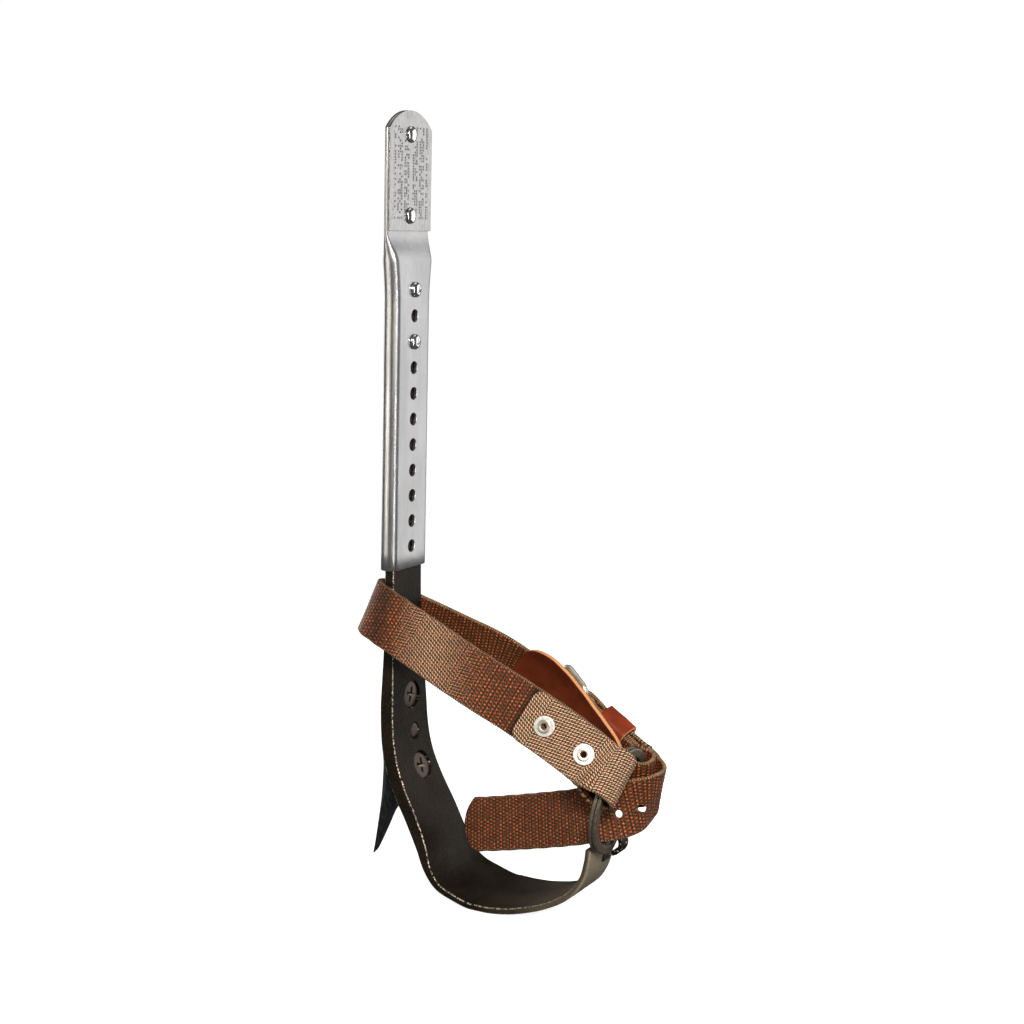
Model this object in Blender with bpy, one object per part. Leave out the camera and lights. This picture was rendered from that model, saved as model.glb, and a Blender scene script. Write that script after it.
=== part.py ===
"""Tree climbing spur: a forged leg iron with a gaff, a height sleeve and an ankle strap.

The part's origin is on the flat top of the foot rest, with X from the leg shank to the ring
arm, Y along the boot and Z up.  Sizes below are in millimetres, drawn from the shank's
mid-plane (X = 0) and the underside of the stirrup (Z = 0), and in_place() moves each point to
the part's origin, in metres.
"""

import math

import bmesh
import bpy
import numpy as np
from mathutils import Vector

MM = 0.001
GAP = 0.3                       # clearance between touching pieces
FOOT_REST = Vector((61.0, 0.0, 3.2))    # the part's origin

# Height sleeve: a flat aluminium tube with a row of holes and a flattened top
HOLE_PITCH = 12.7
HOLE_COUNT = 11
HOLE_RADIUS = 3.0
LOWEST_HOLE_Z = 172.0
SLEEVE_DEPTH = 9.5              # along X
SLEEVE_WIDTH = 32.0             # along Y
SLEEVE_WALL = 1.5
SLEEVE_CORNER = 4.0
SLEEVE_BOTTOM_Z = 161.0
SWAGE_LOW_Z = 312.0
SWAGE_HIGH_Z = 327.0
FLAT_DEPTH = 2.2
FLAT_SHIFT = -0.9               # the flattened end sits a little to the outside
TAG_WIDTH = 38.4
TAG_THICKNESS = 0.85
TAG_BOTTOM_Z = 327.2
TOP_Z = 384.6
TOP_ARCH = 9.0                  # rise of the arched top
TAG_RIVET_Z = (334.5, 373.2)
TAG_RIVET_RADIUS = 4.0
SLEEVE_SCREW_HOLES = (1, 3)     # counted from the top of the row

# Leg iron: rows of (x, z, thickness, half width) down its centre line
SHANK_TOP_Z = 308.0
SHANK_ROWS = (
    (0.2, SHANK_TOP_Z, 5.2, 13.2),
    (0.2, 234.0, 5.2, 13.2),
    (0.2, 160.0, 5.2, 13.2),
    (0.6, 126.0, 5.6, 13.9),
    (1.2, 108.0, 6.6, 15.2),
    (1.6, 92.0, 7.4, 16.4),
    (2.7, 76.0, 7.5, 17.0),
    (5.8, 62.0, 7.5, 17.6),
    (11.2, 49.5, 7.5, 18.2),
    (18.4, 36.8, 7.2, 18.8),
    (24.7, 24.6, 6.2, 19.8),
    (29.6, 14.6, 4.6, 21.6),
    (36.6, 7.6, 3.8, 23.4),
    (46.4, 3.9, 3.4, 24.2),
    (56.0, 1.6, 3.2, 24.3),
)
FOOT_ROWS = (
    (66.0, 1.6, 3.2, 24.0),
    (79.0, 3.2, 3.2, 22.2),
    (94.0, 7.6, 3.2, 18.6),
    (105.0, 14.2, 3.2, 15.0),
    (111.0, 22.5, 3.2, 13.6),
    (113.4, 31.0, 3.2, 13.5),
    (114.0, 37.8, 3.0, 13.2),
)
EDGE_BEVEL = 0.7
ROWS_BETWEEN = 3

# Ring eye, rolled from the far half of the arm's end
EYE_X = 118.4
EYE_Z = 38.4
EYE_BORE_RADIUS = 4.4
EYE_THICKNESS = 2.2
EYE_Y = (1.6, 9.4)

# Split ring: two coils of flat wire, leaning outward
RING_RADIUS = 24.4              # to the middle of the wire
RING_WIRE_WIDTH = 4.6
RING_WIRE_THICKNESS = 1.9
RING_PITCH = 2.15
RING_LEAN = math.radians(10.3)
RING_BOTTOM_Z = 36.85           # middle of the wire at the lowest point

# Gaff: rows of (z, outer x, inner x, half width)
GAFF_ROWS = (
    (107.0, -4.6, 3.0, 5.4),
    (105.0, -6.8, 3.0, 8.0),
    (100.0, -8.6, 3.0, 9.8),
    (88.0, -9.2, 3.0, 10.2),
    (72.0, -9.0, 4.0, 10.2),
    (60.0, -7.8, 8.0, 9.6),
    (50.0, -8.4, 7.0, 8.2),
    (41.0, -9.4, 1.8, 6.4),
    (33.0, -10.6, -3.8, 5.2),
    (24.0, -12.2, -7.4, 3.9),
    (16.0, -13.8, -10.6, 2.4),
    (11.0, -14.9, -12.8, 1.3),
    (8.2, -15.7, -15.0, 0.35),
)
GAFF_SCREW_RADIUS = 6.8
GAFF_THREAD_RADIUS = 3.0
GAFF_SCREW_RECESS = 0.9
GAFF_DOWEL_RADIUS = 3.9
GAFF_SCREWS = (("gaff_screw_upper", 95.0, 2.0), ("gaff_screw_lower", 57.4, 4.0))  # name, z, y
GAFF_DOWEL_Z = 75.6
GAFF_DOWEL_Y = 3.2

# Webbing
STRAP_WIDTH = 27.0
STRAP_THICKNESS = 2.2
HALF_THICK = STRAP_THICKNESS / 2
PUNCH_RADIUS = 1.9

# Side of the strap that carries the buckle: a straight run with its own axes
BUCKLE_ORIGIN = Vector((84.4, 27.1, 90.8))
BUCKLE_ALONG = Vector((0.849, -0.046, -0.527)).normalized()
BUCKLE_UP = Vector((0.50, -0.25, 0.83))
BUCKLE_UP = (BUCKLE_UP - BUCKLE_UP.dot(BUCKLE_ALONG) * BUCKLE_ALONG).normalized()
BUCKLE_OUT = BUCKLE_UP.cross(BUCKLE_ALONG).normalized()
BAR_RADIUS = 1.8
FRONT_BAR = (-17.0, 4.5)        # along, out
FRAME_HALF_WIDTH = 17.8
ROLLER_BORE = 2.1
ROLLER_RADIUS = 2.9
TONGUE_RADIUS = 1.45
BUCKLE_CORNER = 3.2

# Front run, from the ring to the shank: (x, y, z, up x, up y, up z, half spread of the layers)
FRONT_RUN = (
    (125.3, -15.2, 76.5, 0.123, 0.724, 0.679, 6.9),
    (123.2, -16.7, 78.5, 0.123, 0.724, 0.679, 6.7),
    (120.8, -17.6, 80.9, 0.19, 0.64, 0.74, 4.5),
    (117.8, -18.1, 83.5, 0.30, 0.54, 0.79, 1.6),
    (113.6, -18.9, 86.6, 0.38, 0.42, 0.82, 1.36),
    (105.3, -20.4, 92.0, 0.43, 0.36, 0.83, 1.34),
    (94.0, -22.3, 98.6, 0.47, 0.32, 0.83, 1.32),
    (78.0, -25.0, 107.2, 0.48, 0.30, 0.83, 1.30),
)
WRAP_RUN = (
    (66.0, -26.6, 113.2, 0.45, 0.32, 0.84),
    (48.0, -27.6, 121.6, 0.43, 0.35, 0.84),
    (28.0, -27.0, 130.6, 0.40, 0.37, 0.84),
    (10.0, -24.6, 137.6, 0.36, 0.36, 0.86),
    (-3.0, -20.8, 141.8, 0.32, 0.34, 0.89),
    (-10.4, -13.6, 142.6, 0.28, 0.26, 0.93),
    (-13.6, -3.0, 140.6, 0.28, 0.06, 0.96),
    (-12.6, 8.4, 137.0, 0.30, -0.14, 0.95),
    (-7.0, 17.0, 133.2, 0.36, -0.24, 0.90),
    (4.0, 21.8, 128.8, 0.42, -0.26, 0.87),
    (22.0, 24.6, 122.4, 0.46, -0.25, 0.85),
    (42.0, 26.0, 115.8, 0.48, -0.25, 0.84),
)
# Through the buckle and keeper, as (along, out) on the buckle side
BUCKLE_RUN = ((-31.0, 0.0), (-22.0, 0.0), (-17.0, 0.25), (-10.0, 2.6), (-4.0, 5.0), (1.0, 6.3),
              (7.0, 5.8), (13.0, 4.9), (24.0, 4.7), (35.0, 4.7))
TAIL_RUN = (
    (119.0, 31.4, 70.0, 0.37, -0.27, 0.88),
    (126.4, 31.5, 65.4, 0.25, -0.29, 0.92),
    (132.6, 26.8, 62.6, 0.21, -0.22, 0.95),
    (135.4, 17.8, 61.2, 0.22, -0.07, 0.97),
    (133.8, 8.4, 59.8, 0.16, 0.08, 0.98),
    (128.2, 1.2, 57.8, 0.10, 0.18, 0.97),
    (120.0, -2.6, 55.2, 0.07, 0.23, 0.97),
    (110.0, -3.0, 52.2, 0.06, 0.25, 0.97),
    (97.0, -1.4, 47.8, 0.05, 0.25, 0.97),
    (78.0, 1.6, 42.0, 0.05, 0.25, 0.97),
    (58.0, 4.8, 36.2, 0.05, 0.25, 0.97),
    (42.0, 7.5, 31.9, 0.05, 0.25, 0.97, 27.0),
    (37.0, 8.3, 30.6, 0.05, 0.25, 0.97, 25.4),
    (34.2, 8.8, 29.8, 0.05, 0.25, 0.97, 17.0),
)
# The flap's free end: (share of the way to its second row, width)
FLAP_END = ((0.0, 17.8), (0.2, 24.4), (0.65, 27.0))
RIVET_X = (94.6, 113.8)         # the two strap rivets, from the flap's free end
PUNCH_SPOTS = ((133.4, 58.4), (124.2, 54.8), (112.4, 51.6))
BUCKLE_STRAP_INNER = -1.35
BUCKLE_STRAP_OUTER = 1.35
# The buckle strap's run to the ring: (x, y, z, up x, up y, up z, half spread of the layers)
RING_SIDE_RUN = (
    (115.6, 25.3, 71.2, 0.44, -0.28, 0.85, 1.36),
    (118.7, 23.4, 69.6, 0.27, -0.31, 0.91, 4.2),
    (121.3, 21.8, 68.2, 0.17, -0.31, 0.94, 6.5),
    (124.2, 21.0, 67.4, 0.17, -0.31, 0.94, 6.4),
)
BUCKLE_RIVETS = (10.0, 31.4)    # along the buckle side

# Leather pad, as (along, out, half width) on the buckle side, and keeper
PAD_THICKNESS = 2.6
PAD_RISE = 4.2                  # the pad sits a little above the strap's middle
PAD_RUN = (
    (-37.5, -4.8, 4.0), (-36.4, -4.9, 10.0), (-33.0, -5.2, 15.0), (-27.0, -5.7, 18.6),
    (-19.0, -6.3, 20.6), (-9.0, -7.1, 20.4), (0.0, -7.4, 18.6), (9.0, -7.5, 16.2),
    (18.0, -7.5, 13.6), (25.0, -7.6, 11.6), (30.5, -7.6, 9.0), (35.0, -8.0, 5.4),
)
KEEPER_WIDTH = 16.6
KEEPER_ALONG = 21.2
KEEPER_THICKNESS = 1.9
KEEPER_LOW = -3.4               # its loop, inside, out of the buckle side
KEEPER_HIGH = 6.4
KEEPER_CORNER = 2.6


def material(name, colour, roughness, metallic):
    found = bpy.data.materials.new(name)
    found.use_nodes = True
    shader = found.node_tree.nodes["Principled BSDF"]
    shader.inputs["Base Color"].default_value = (*colour, 1.0)
    shader.inputs["Roughness"].default_value = roughness
    shader.inputs["Metallic"].default_value = metallic
    found.diffuse_color = (*colour, 1.0)
    return found


def in_place(point):
    """A drawn point (mm) as a point of the part (m)."""
    return (Vector(point) - FOOT_REST) * MM


def turns_about(obj, point):
    """Put the object's origin on a drawn point of its joint's axis."""
    spot = in_place(point)
    for vertex in obj.data.vertices:
        vertex.co -= spot
    obj.location = spot


def smoothstep(t):
    t = min(max(t, 0.0), 1.0)
    return t * t * (3 - 2 * t)


def through(rows, between):
    """A smooth curve through the rows (Catmull-Rom), with `between` steps from row to row."""
    rows = [np.array(r, float) for r in rows]
    padded = [2 * rows[0] - rows[1], *rows, 2 * rows[-1] - rows[-2]]
    found = []
    for a, b, c, d in zip(padded, padded[1:], padded[2:], padded[3:]):
        for i in range(between):
            t = i / between
            found.append(0.5 * (2 * b + (c - a) * t + (2 * a - 5 * b + 4 * c - d) * t ** 2
                                + (3 * b - a - 3 * c + d) * t ** 3))
    return [*found, rows[-1]]


def add_object(name, bm, finish, sharp_degrees=35.0):
    bmesh.ops.recalc_face_normals(bm, faces=bm.faces)
    mesh = bpy.data.meshes.new(name)
    bm.to_mesh(mesh)
    bm.free()
    mesh.materials.append(finish)
    mesh.shade_smooth()
    mesh.set_sharp_from_angle(angle=math.radians(sharp_degrees))
    found = bpy.data.objects.new(name, mesh)
    bpy.context.scene.collection.objects.link(found)
    return found


def loft(name, rings, finish, closed=False):
    """A solid through rings of points (mm); its ends are capped, or joined when closed."""
    bm = bmesh.new()
    rows = [[bm.verts.new(in_place(p)) for p in ring] for ring in rings]
    count = len(rows[0])
    pairs = list(zip(rows, rows[1:]))
    if closed:
        pairs.append((rows[-1], rows[0]))
    for low, high in pairs:
        for i in range(count):
            j = (i + 1) % count
            bm.faces.new((low[i], low[j], high[j], high[i]))
    if not closed:
        bm.faces.new(rows[0])
        bm.faces.new(rows[-1])
    return add_object(name, bm, finish)


def turned(name, profile, origin, axis, finish, sides=24, bore=False):
    """A solid of revolution: profile rows are (radius, distance along the axis)."""
    axis = Vector(axis).normalized()
    across = axis.orthogonal().normalized()
    other = axis.cross(across)
    rings = []
    for k in range(sides):
        angle = 2 * math.pi * k / sides
        out = across * math.cos(angle) + other * math.sin(angle)
        rings.append([Vector(origin) + out * r + axis * h for r, h in profile])
    if bore:
        return loft(name, rings, finish, closed=True)
    bm = bmesh.new()
    start = bm.verts.new(in_place(Vector(origin) + axis * profile[0][1]))
    end = bm.verts.new(in_place(Vector(origin) + axis * profile[-1][1]))
    rows = [[bm.verts.new(in_place(p)) for p in ring] for ring in rings]
    for k, row in enumerate(rows):
        after = rows[(k + 1) % sides]
        bm.faces.new((start, row[0], after[0]))
        bm.faces.new((end, after[-1], row[-1]))
        for i in range(len(profile) - 1):
            bm.faces.new((row[i], row[i + 1], after[i + 1], after[i]))
    return add_object(name, bm, finish)


def cut(target, cutter):
    """Boolean difference, with the cutter kept as a hidden guide."""
    cutter.hide_render = True
    cutter.display_type = "WIRE"
    step = target.modifiers.new(cutter.name, "BOOLEAN")
    step.operation = "DIFFERENCE"
    step.object = cutter
    return cutter


def join(target, other):
    """Boolean union, with the other shape kept as a hidden guide."""
    cut(target, other)
    target.modifiers[-1].operation = "UNION"


def ribbon_rings(rows, thickness):
    """Cross-sections along a band: rows are (x, y, z, up x, up y, up z, width)."""
    centres = [Vector(r[:3]) for r in rows]
    rings = []
    for i, row in enumerate(rows):
        along = (centres[min(i + 1, len(rows) - 1)] - centres[max(i - 1, 0)]).normalized()
        up = Vector(row[3:6])
        up = (up - up.dot(along) * along).normalized() * row[6] / 2
        out = up.cross(along).normalized() * thickness / 2
        c = centres[i]
        rings.append([c + up + out, c - up + out, c - up - out, c + up - out])
    return rings


def on_buckle(along, up, out):
    """A point given along, across and out of the buckle side's own axes."""
    return BUCKLE_ORIGIN + BUCKLE_ALONG * along + BUCKLE_UP * up + BUCKLE_OUT * out


def strap_row(point, up, width=STRAP_WIDTH):
    return (*point, *up, width)


# ---------------------------------------------------------------- leg iron

def iron_centre_line():
    """Rows down the shank, round the stirrup (with a flat foot rest) and up the arm."""
    rows = (*SHANK_ROWS, *FOOT_ROWS)
    smooth = through(rows, ROWS_BETWEEN)
    flat = (len(SHANK_ROWS) - 1) * ROWS_BETWEEN
    for i in range(flat, flat + ROWS_BETWEEN + 1):
        smooth[i][1] = SHANK_ROWS[-1][1]
    return smooth


def iron_rings(rows, extra=0.0):
    rings = []
    for i, (x, z, thick, half) in enumerate(rows):
        before, after = rows[max(i - 1, 0)], rows[min(i + 1, len(rows) - 1)]
        along = Vector((after[0] - before[0], 0, after[1] - before[1])).normalized()
        out = Vector((0, 1, 0)).cross(along) * -1 * (thick / 2 + extra)
        side = Vector((0, half + extra, 0))
        bevel = EDGE_BEVEL if not extra else 0.0
        slim = side * (1 - bevel / side.length)
        low = out * (1 - bevel / out.length)
        c = Vector((x, 0, z))
        rings.append([c + side + low, c + slim + out, c - slim + out, c - side + low,
                      c - side - low, c - slim - out, c + slim - out, c + side - low])
    return rings


def face_point(rows, z):
    """Point and normal of the boot-side face at height z on the shank."""
    for a, b in zip(rows, rows[1:]):
        if b[1] <= z <= a[1]:
            t = (a[1] - z) / (a[1] - b[1])
            mid = a + (b - a) * t
            along = Vector((b[0] - a[0], 0, b[1] - a[1])).normalized()
            out = Vector((-along.z, 0, along.x))
            return Vector((mid[0], 0, mid[1])) + out * mid[2] / 2, out
    raise ValueError("height is off the shank")


def make_eye(finish):
    """The strip that leaves the arm, goes over the ring wire and curls back under it."""
    radius = EYE_BORE_RADIUS + EYE_THICKNESS / 2
    centre = Vector((EYE_X, 0, EYE_Z))
    start, end, steps = 205.0, -80.0, 30
    points = [Vector((114.5, 0, 28.2))]
    for k in range(steps + 1):
        angle = math.radians(start + (end - start) * k / steps)
        points.append(centre + Vector((math.cos(angle), 0, math.sin(angle))) * radius)
    middle, width = sum(EYE_Y) / 2, EYE_Y[1] - EYE_Y[0]
    rows = [(p.x, middle, p.z, 0, 1, 0, width) for p in points]
    return loft("eye_strip", ribbon_rings(rows, EYE_THICKNESS), finish)


def make_leg_iron(finish, rows):
    iron = loft("leg_iron", iron_rings(rows), finish)
    join(iron, make_eye(finish))
    for name, spot, out in gaff_screw_places(rows):
        recess = GAFF_SCREW_RADIUS + GAP
        profile = ((recess, 3.0), (recess, -GAFF_SCREW_RECESS - 1.6),
                   (GAFF_THREAD_RADIUS + GAP, -5.2), (GAFF_THREAD_RADIUS + GAP, -12.0))
        cut(iron, turned(name + "_seat", profile, spot, out, finish))
    spot = dowel_spot(rows)
    radius = GAFF_DOWEL_RADIUS + GAP
    cut(iron, turned("dowel_hole", ((radius, 4.0), (radius, -14.0)), spot, (1, 0, 0), finish))
    for count in SLEEVE_SCREW_HOLES:
        spot = (0, 0, hole_height(count))
        bore = ((2.5 + GAP, 8.0), (2.5 + GAP, -8.0))
        cut(iron, turned(f"thread_hole_{count}", bore, spot, (1, 0, 0), finish, sides=20))
    return iron


# ---------------------------------------------------------------- gaff

def gaff_screw_places(rows):
    for name, z, y in GAFF_SCREWS:
        spot, out = face_point(rows, z)
        yield name, spot + Vector((0, y, 0)), out


def dowel_spot(rows):
    return face_point(rows, GAFF_DOWEL_Z)[0] + Vector((0, GAFF_DOWEL_Y, 0))


def make_gaff(finish, rows):
    """A forged spike: its back is cut to the shank's outer face, its nose comes to a point."""
    rings = []
    for z, outer, inner, half in through(GAFF_ROWS, 3):
        ridge = half * 0.42
        shoulder = outer + (inner - outer) * 0.34
        rings.append([(outer, -ridge, z), (outer, ridge, z), (shoulder, half, z),
                      (inner, half * 0.8, z), (inner, -half * 0.8, z), (shoulder, -half, z)])
    gaff = loft("gaff", rings, finish)
    cut(gaff, loft("iron_clearance", iron_rings(rows, GAP), finish))
    for name, spot, out in gaff_screw_places(rows):
        bore = ((GAFF_THREAD_RADIUS + GAP, 0.0), (GAFF_THREAD_RADIUS + GAP, -12.6))
        cut(gaff, turned(name + "_thread_hole", bore, spot, out, finish, sides=24))
    spot = dowel_spot(rows)
    radius = GAFF_DOWEL_RADIUS + GAP
    cut(gaff, turned("dowel_socket", ((radius, 0.0), (radius, -12.6)), spot, (1, 0, 0), finish))
    return gaff


def make_gaff_fasteners(finish, rows):
    for name, spot, out in gaff_screw_places(rows):
        top = -GAFF_SCREW_RECESS
        profile = ((GAFF_SCREW_RADIUS, top), (GAFF_SCREW_RADIUS, top - 1.3),
                   (GAFF_THREAD_RADIUS, -5.0), (GAFF_THREAD_RADIUS, -12.0))
        turned(name, profile, spot, out, finish)
    spot = dowel_spot(rows)
    r = GAFF_DOWEL_RADIUS
    turned("gaff_dowel", ((r - 0.4, -0.3), (r, -0.7), (r, -12.0)), spot, (1, 0, 0), finish)


# ---------------------------------------------------------------- height sleeve

def hole_height(count_from_top):
    return LOWEST_HOLE_Z + (HOLE_COUNT - count_from_top) * HOLE_PITCH


def rounded_rectangle(half_x, half_y, radius, x, z, steps=4):
    radius = min(radius, half_x * 0.98, half_y * 0.98)
    points = []
    for cx, cy, start in ((1, 1, 0), (-1, 1, 90), (-1, -1, 180), (1, -1, 270)):
        for k in range(steps + 1):
            a = math.radians(start + 90 * k / steps)
            points.append((x + cx * (half_x - radius) + math.cos(a) * radius,
                           cy * (half_y - radius) + math.sin(a) * radius, z))
    return points


def top_half_width(z, half):
    """Half width under the arched top."""
    radius = (half ** 2 + TOP_ARCH ** 2) / (2 * TOP_ARCH)
    below = z - (TOP_Z - radius)
    if z <= TOP_Z - TOP_ARCH:
        return half
    return math.sqrt(max(radius ** 2 - below ** 2, 1.0))


def sleeve_ring(z, inset):
    flat = smoothstep((z - SWAGE_LOW_Z) / (SWAGE_HIGH_Z - SWAGE_LOW_Z))
    wide = smoothstep((z - 292.0) / (330.0 - 292.0))
    half_x = SLEEVE_DEPTH / 2 * (1 - flat) + FLAT_DEPTH / 2 * flat - inset
    half_y = SLEEVE_WIDTH / 2 * (1 - wide) + TAG_WIDTH / 2 * wide
    half_y = top_half_width(z, half_y) - inset
    return rounded_rectangle(half_x, half_y, SLEEVE_CORNER - inset, FLAT_SHIFT * flat, z)


def spaced(low, high, count):
    return [low + (high - low) * k / count for k in range(count + 1)]


def make_sleeve(finish):
    arch = [TOP_Z - TOP_ARCH * (1 - math.sin(math.radians(a))) for a in (0, 25, 45, 62, 76, 86)]
    levels = [SLEEVE_BOTTOM_Z, *spaced(292.0, 330.0, 10), *arch]
    sleeve = loft("sleeve", [sleeve_ring(z, 0.0) for z in levels], finish)
    bore = [SLEEVE_BOTTOM_Z - 2, *spaced(292.0, 318.0, 6)]
    cut(sleeve, loft("sleeve_bore", [sleeve_ring(z, SLEEVE_WALL) for z in bore], finish))
    for count in range(1, HOLE_COUNT + 1):
        spot = (0, 0, hole_height(count))
        profile = ((HOLE_RADIUS, 8.0), (HOLE_RADIUS, -8.0))
        cut(sleeve, turned(f"sleeve_hole_{count}", profile, spot, (1, 0, 0), finish, sides=16))
    for i, z in enumerate(TAG_RIVET_Z):
        profile = ((2.3, 8.0), (2.3, -8.0))
        cut(sleeve, turned(f"rivet_hole_{i}", profile, (0, 0, z), (1, 0, 0), finish, sides=12))
    return sleeve


def make_tag(finish, rivet_finish):
    """The plate riveted on the flattened end, and its two domed rivets."""
    front = FLAT_SHIFT + FLAT_DEPTH / 2
    low, high = front + GAP, front + GAP + TAG_THICKNESS
    half = TAG_WIDTH / 2
    levels = [TAG_BOTTOM_Z, TOP_Z - TOP_ARCH]
    levels += [TOP_Z - TOP_ARCH * (1 - math.sin(math.radians(a))) for a in (25, 45, 62, 76, 86)]
    rings = []
    for z in levels:
        w = top_half_width(z, half)
        rings.append([(low, -w, z), (high, -w, z), (high, w, z), (low, w, z)])
    tag = loft("tag_plate", rings, finish)
    for i, z in enumerate(TAG_RIVET_Z):
        profile = ((2.3, 8.0), (2.3, -8.0))
        cut(tag, turned(f"tag_hole_{i}", profile, (0, 0, z), (1, 0, 0), finish, sides=12))
    pieces = [tag]
    back = FLAT_SHIFT - FLAT_DEPTH / 2 - GAP
    r = TAG_RIVET_RADIUS
    for name, z in zip(("tag_rivet_lower", "tag_rivet_upper"), TAG_RIVET_Z):
        dome = [(r * math.cos(math.radians(a)), high + GAP + 1.9 * math.sin(math.radians(a)))
                for a in (80, 60, 40, 20, 0)]
        rear = [(3.2, back), (3.2, back - 0.9)]
        profile = (*dome, (2.0, high + GAP), (2.0, back), *rear)
        pieces.append(turned(name, profile, (0, 0, z), (1, 0, 0), rivet_finish, sides=18))
    return pieces


def make_sleeve_screws(finish):
    """Button-head screws that lock the sleeve to the shank."""
    face = SLEEVE_DEPTH / 2 + GAP
    for count, name in zip(SLEEVE_SCREW_HOLES, ("sleeve_screw_upper", "sleeve_screw_lower")):
        profile = ((2.2, face + 2.3), (3.3, face + 1.7), (3.8, face + 0.7), (3.8, face),
                   (2.5, face), (2.5, -2.2))
        turned(name, profile, (0, 0, hole_height(count)), (1, 0, 0), finish, sides=24)


# ---------------------------------------------------------------- split ring

def ring_frame():
    up = Vector((math.sin(RING_LEAN), 0, math.cos(RING_LEAN)))
    normal = Vector((math.cos(RING_LEAN), 0, -math.sin(RING_LEAN)))
    centre = Vector((EYE_X, 0, RING_BOTTOM_Z)) + up * RING_RADIUS
    return centre, up, normal


def make_ring(finish):
    """Two turns of flat wire; the step from coil to coil is short, beside the wire's ends."""
    centre, up, normal = ring_frame()
    end_angle = math.radians(167.0)
    rings = []
    steps = 84
    for k in range(steps + 1):
        turn = 0.05 + 1.9 * k / steps
        angle = end_angle + 2 * math.pi * turn
        shift = RING_PITCH * (smoothstep((turn - 0.955) / 0.09) - 0.5)
        out = up * math.cos(angle) + Vector((0, 1, 0)) * math.sin(angle)
        c = centre + out * RING_RADIUS + normal * shift
        wide, thick = out * RING_WIRE_WIDTH / 2, normal * RING_WIRE_THICKNESS / 2
        rings.append([c + wide + thick, c - wide + thick, c - wide - thick, c + wide - thick])
    return loft("split_ring", rings, finish)


# ---------------------------------------------------------------- ankle strap

def front_layers():
    """The flap's and the band's centre lines beside the ring, outer layer first."""
    outer, inner = [], []
    rows = through(FRONT_RUN, 3)
    centres = [Vector(r[:3]) for r in rows]
    for i, row in enumerate(rows):
        along = (centres[max(i - 1, 0)] - centres[min(i + 1, len(rows) - 1)]).normalized()
        up = Vector(row[3:6])
        up = (up - up.dot(along) * along).normalized()
        out = along.cross(up)
        outer.append(strap_row(centres[i] + out * row[6], up))
        inner.append(strap_row(centres[i] - out * row[6], up))
    return outer, inner


def fold_rows(first, last, along, steps=6):
    """Half a turn from one layer's end to the other's."""
    a, b = Vector(first[:3]), Vector(last[:3])
    middle, half = (a + b) / 2, (a - b) / 2
    rows = []
    for k in range(1, steps):
        angle = math.pi * k / steps
        point = middle + half * math.cos(angle) + along * half.length * math.sin(angle)
        rows.append(strap_row(point, first[3:6]))
    return rows


def ankle_strap_rows():
    outer, inner = front_layers()
    flap = list(reversed(outer[1:-1]))
    tip, after = Vector(flap[0][:3]), Vector(flap[1][:3])
    flap[:1] = [strap_row(tip.lerp(after, t), flap[0][3:6], width) for t, width in FLAP_END]
    along = (Vector(FRONT_RUN[0][:3]) - Vector(FRONT_RUN[1][:3])).normalized()
    fold = [outer[0], *fold_rows(outer[0], inner[0], along)]
    up = tuple(BUCKLE_UP)
    buckle = [strap_row(on_buckle(a, 0, h), up) for a, h in BUCKLE_RUN]
    rest = [strap_row(r[:3], r[3:6]) for r in WRAP_RUN]
    tail = [strap_row(r[:3], r[3:6], *r[6:]) for r in TAIL_RUN]
    run = through([inner[-1], *rest, *buckle, *tail], 4)
    return flap + fold + inner[:-1] + run


def flap_spot(x):
    """The flap's and the band's middles under a rivet, with the outward direction."""
    outer, inner = front_layers()
    for i in range(len(outer) - 1):
        if outer[i + 1][0] <= x <= outer[i][0]:
            t = (outer[i][0] - x) / (outer[i][0] - outer[i + 1][0])
            a = Vector(outer[i][:3]).lerp(Vector(outer[i + 1][:3]), t)
            b = Vector(inner[i][:3]).lerp(Vector(inner[i + 1][:3]), t)
            return a, b, (a - b).normalized()
    raise ValueError("rivet is off the flap")


def make_ankle_strap(finish):
    rows = ankle_strap_rows()
    strap = loft("ankle_strap", ribbon_rings(rows, STRAP_THICKNESS), finish)
    for i, x in enumerate(RIVET_X):
        a, b, out = flap_spot(x)
        profile = ((2.7, 4.0), (2.7, -4.0 - (a - b).length))
        cut(strap, turned(f"strap_rivet_hole_{i}", profile, a, out, finish, sides=16))
    for i, (x, z) in enumerate(PUNCH_SPOTS):
        profile = ((PUNCH_RADIUS, 12.0), (PUNCH_RADIUS, -12.0))
        spot = Vector((x, -1.0, z))
        cut(strap, turned(f"punched_hole_{i}", profile, spot, (0.1, -1, 0.2), finish, sides=14))
    slot = [on_buckle(a, v, h) for h in (-3.0, 9.0)
            for a, v in ((-12.0, -2.2), (-1.5, -2.2), (-1.5, 2.2), (-12.0, 2.2))]
    cut(strap, loft("tongue_slot", (slot[:4], slot[4:]), finish))
    return strap


def make_strap_rivets(finish):
    """Hollow rivets through both layers, each with a washer under its rolled head."""
    for i, x in enumerate(RIVET_X):
        a, b, out = flap_spot(x)
        face = HALF_THICK + GAP + 0.1
        back = -(a - b).length - HALF_THICK - GAP - 0.1
        washer = ((2.6, face), (5.0, face), (5.0, face + 0.7), (2.6, face + 0.7))
        turned(f"strap_washer_{i + 1}", washer, a, out, finish, sides=24, bore=True)
        top = face + 0.7 + GAP
        rivet = ((1.5, top + 0.9), (2.3, top + 0.9), (3.2, top + 0.5), (3.2, top), (2.3, top),
                 (2.3, back), (4.2, back), (4.2, back - 0.8), (1.5, back - 0.8))
        turned(f"strap_rivet_{i + 1}", rivet, a, out, finish, sides=18, bore=True)


# ---------------------------------------------------------------- buckle side

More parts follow.
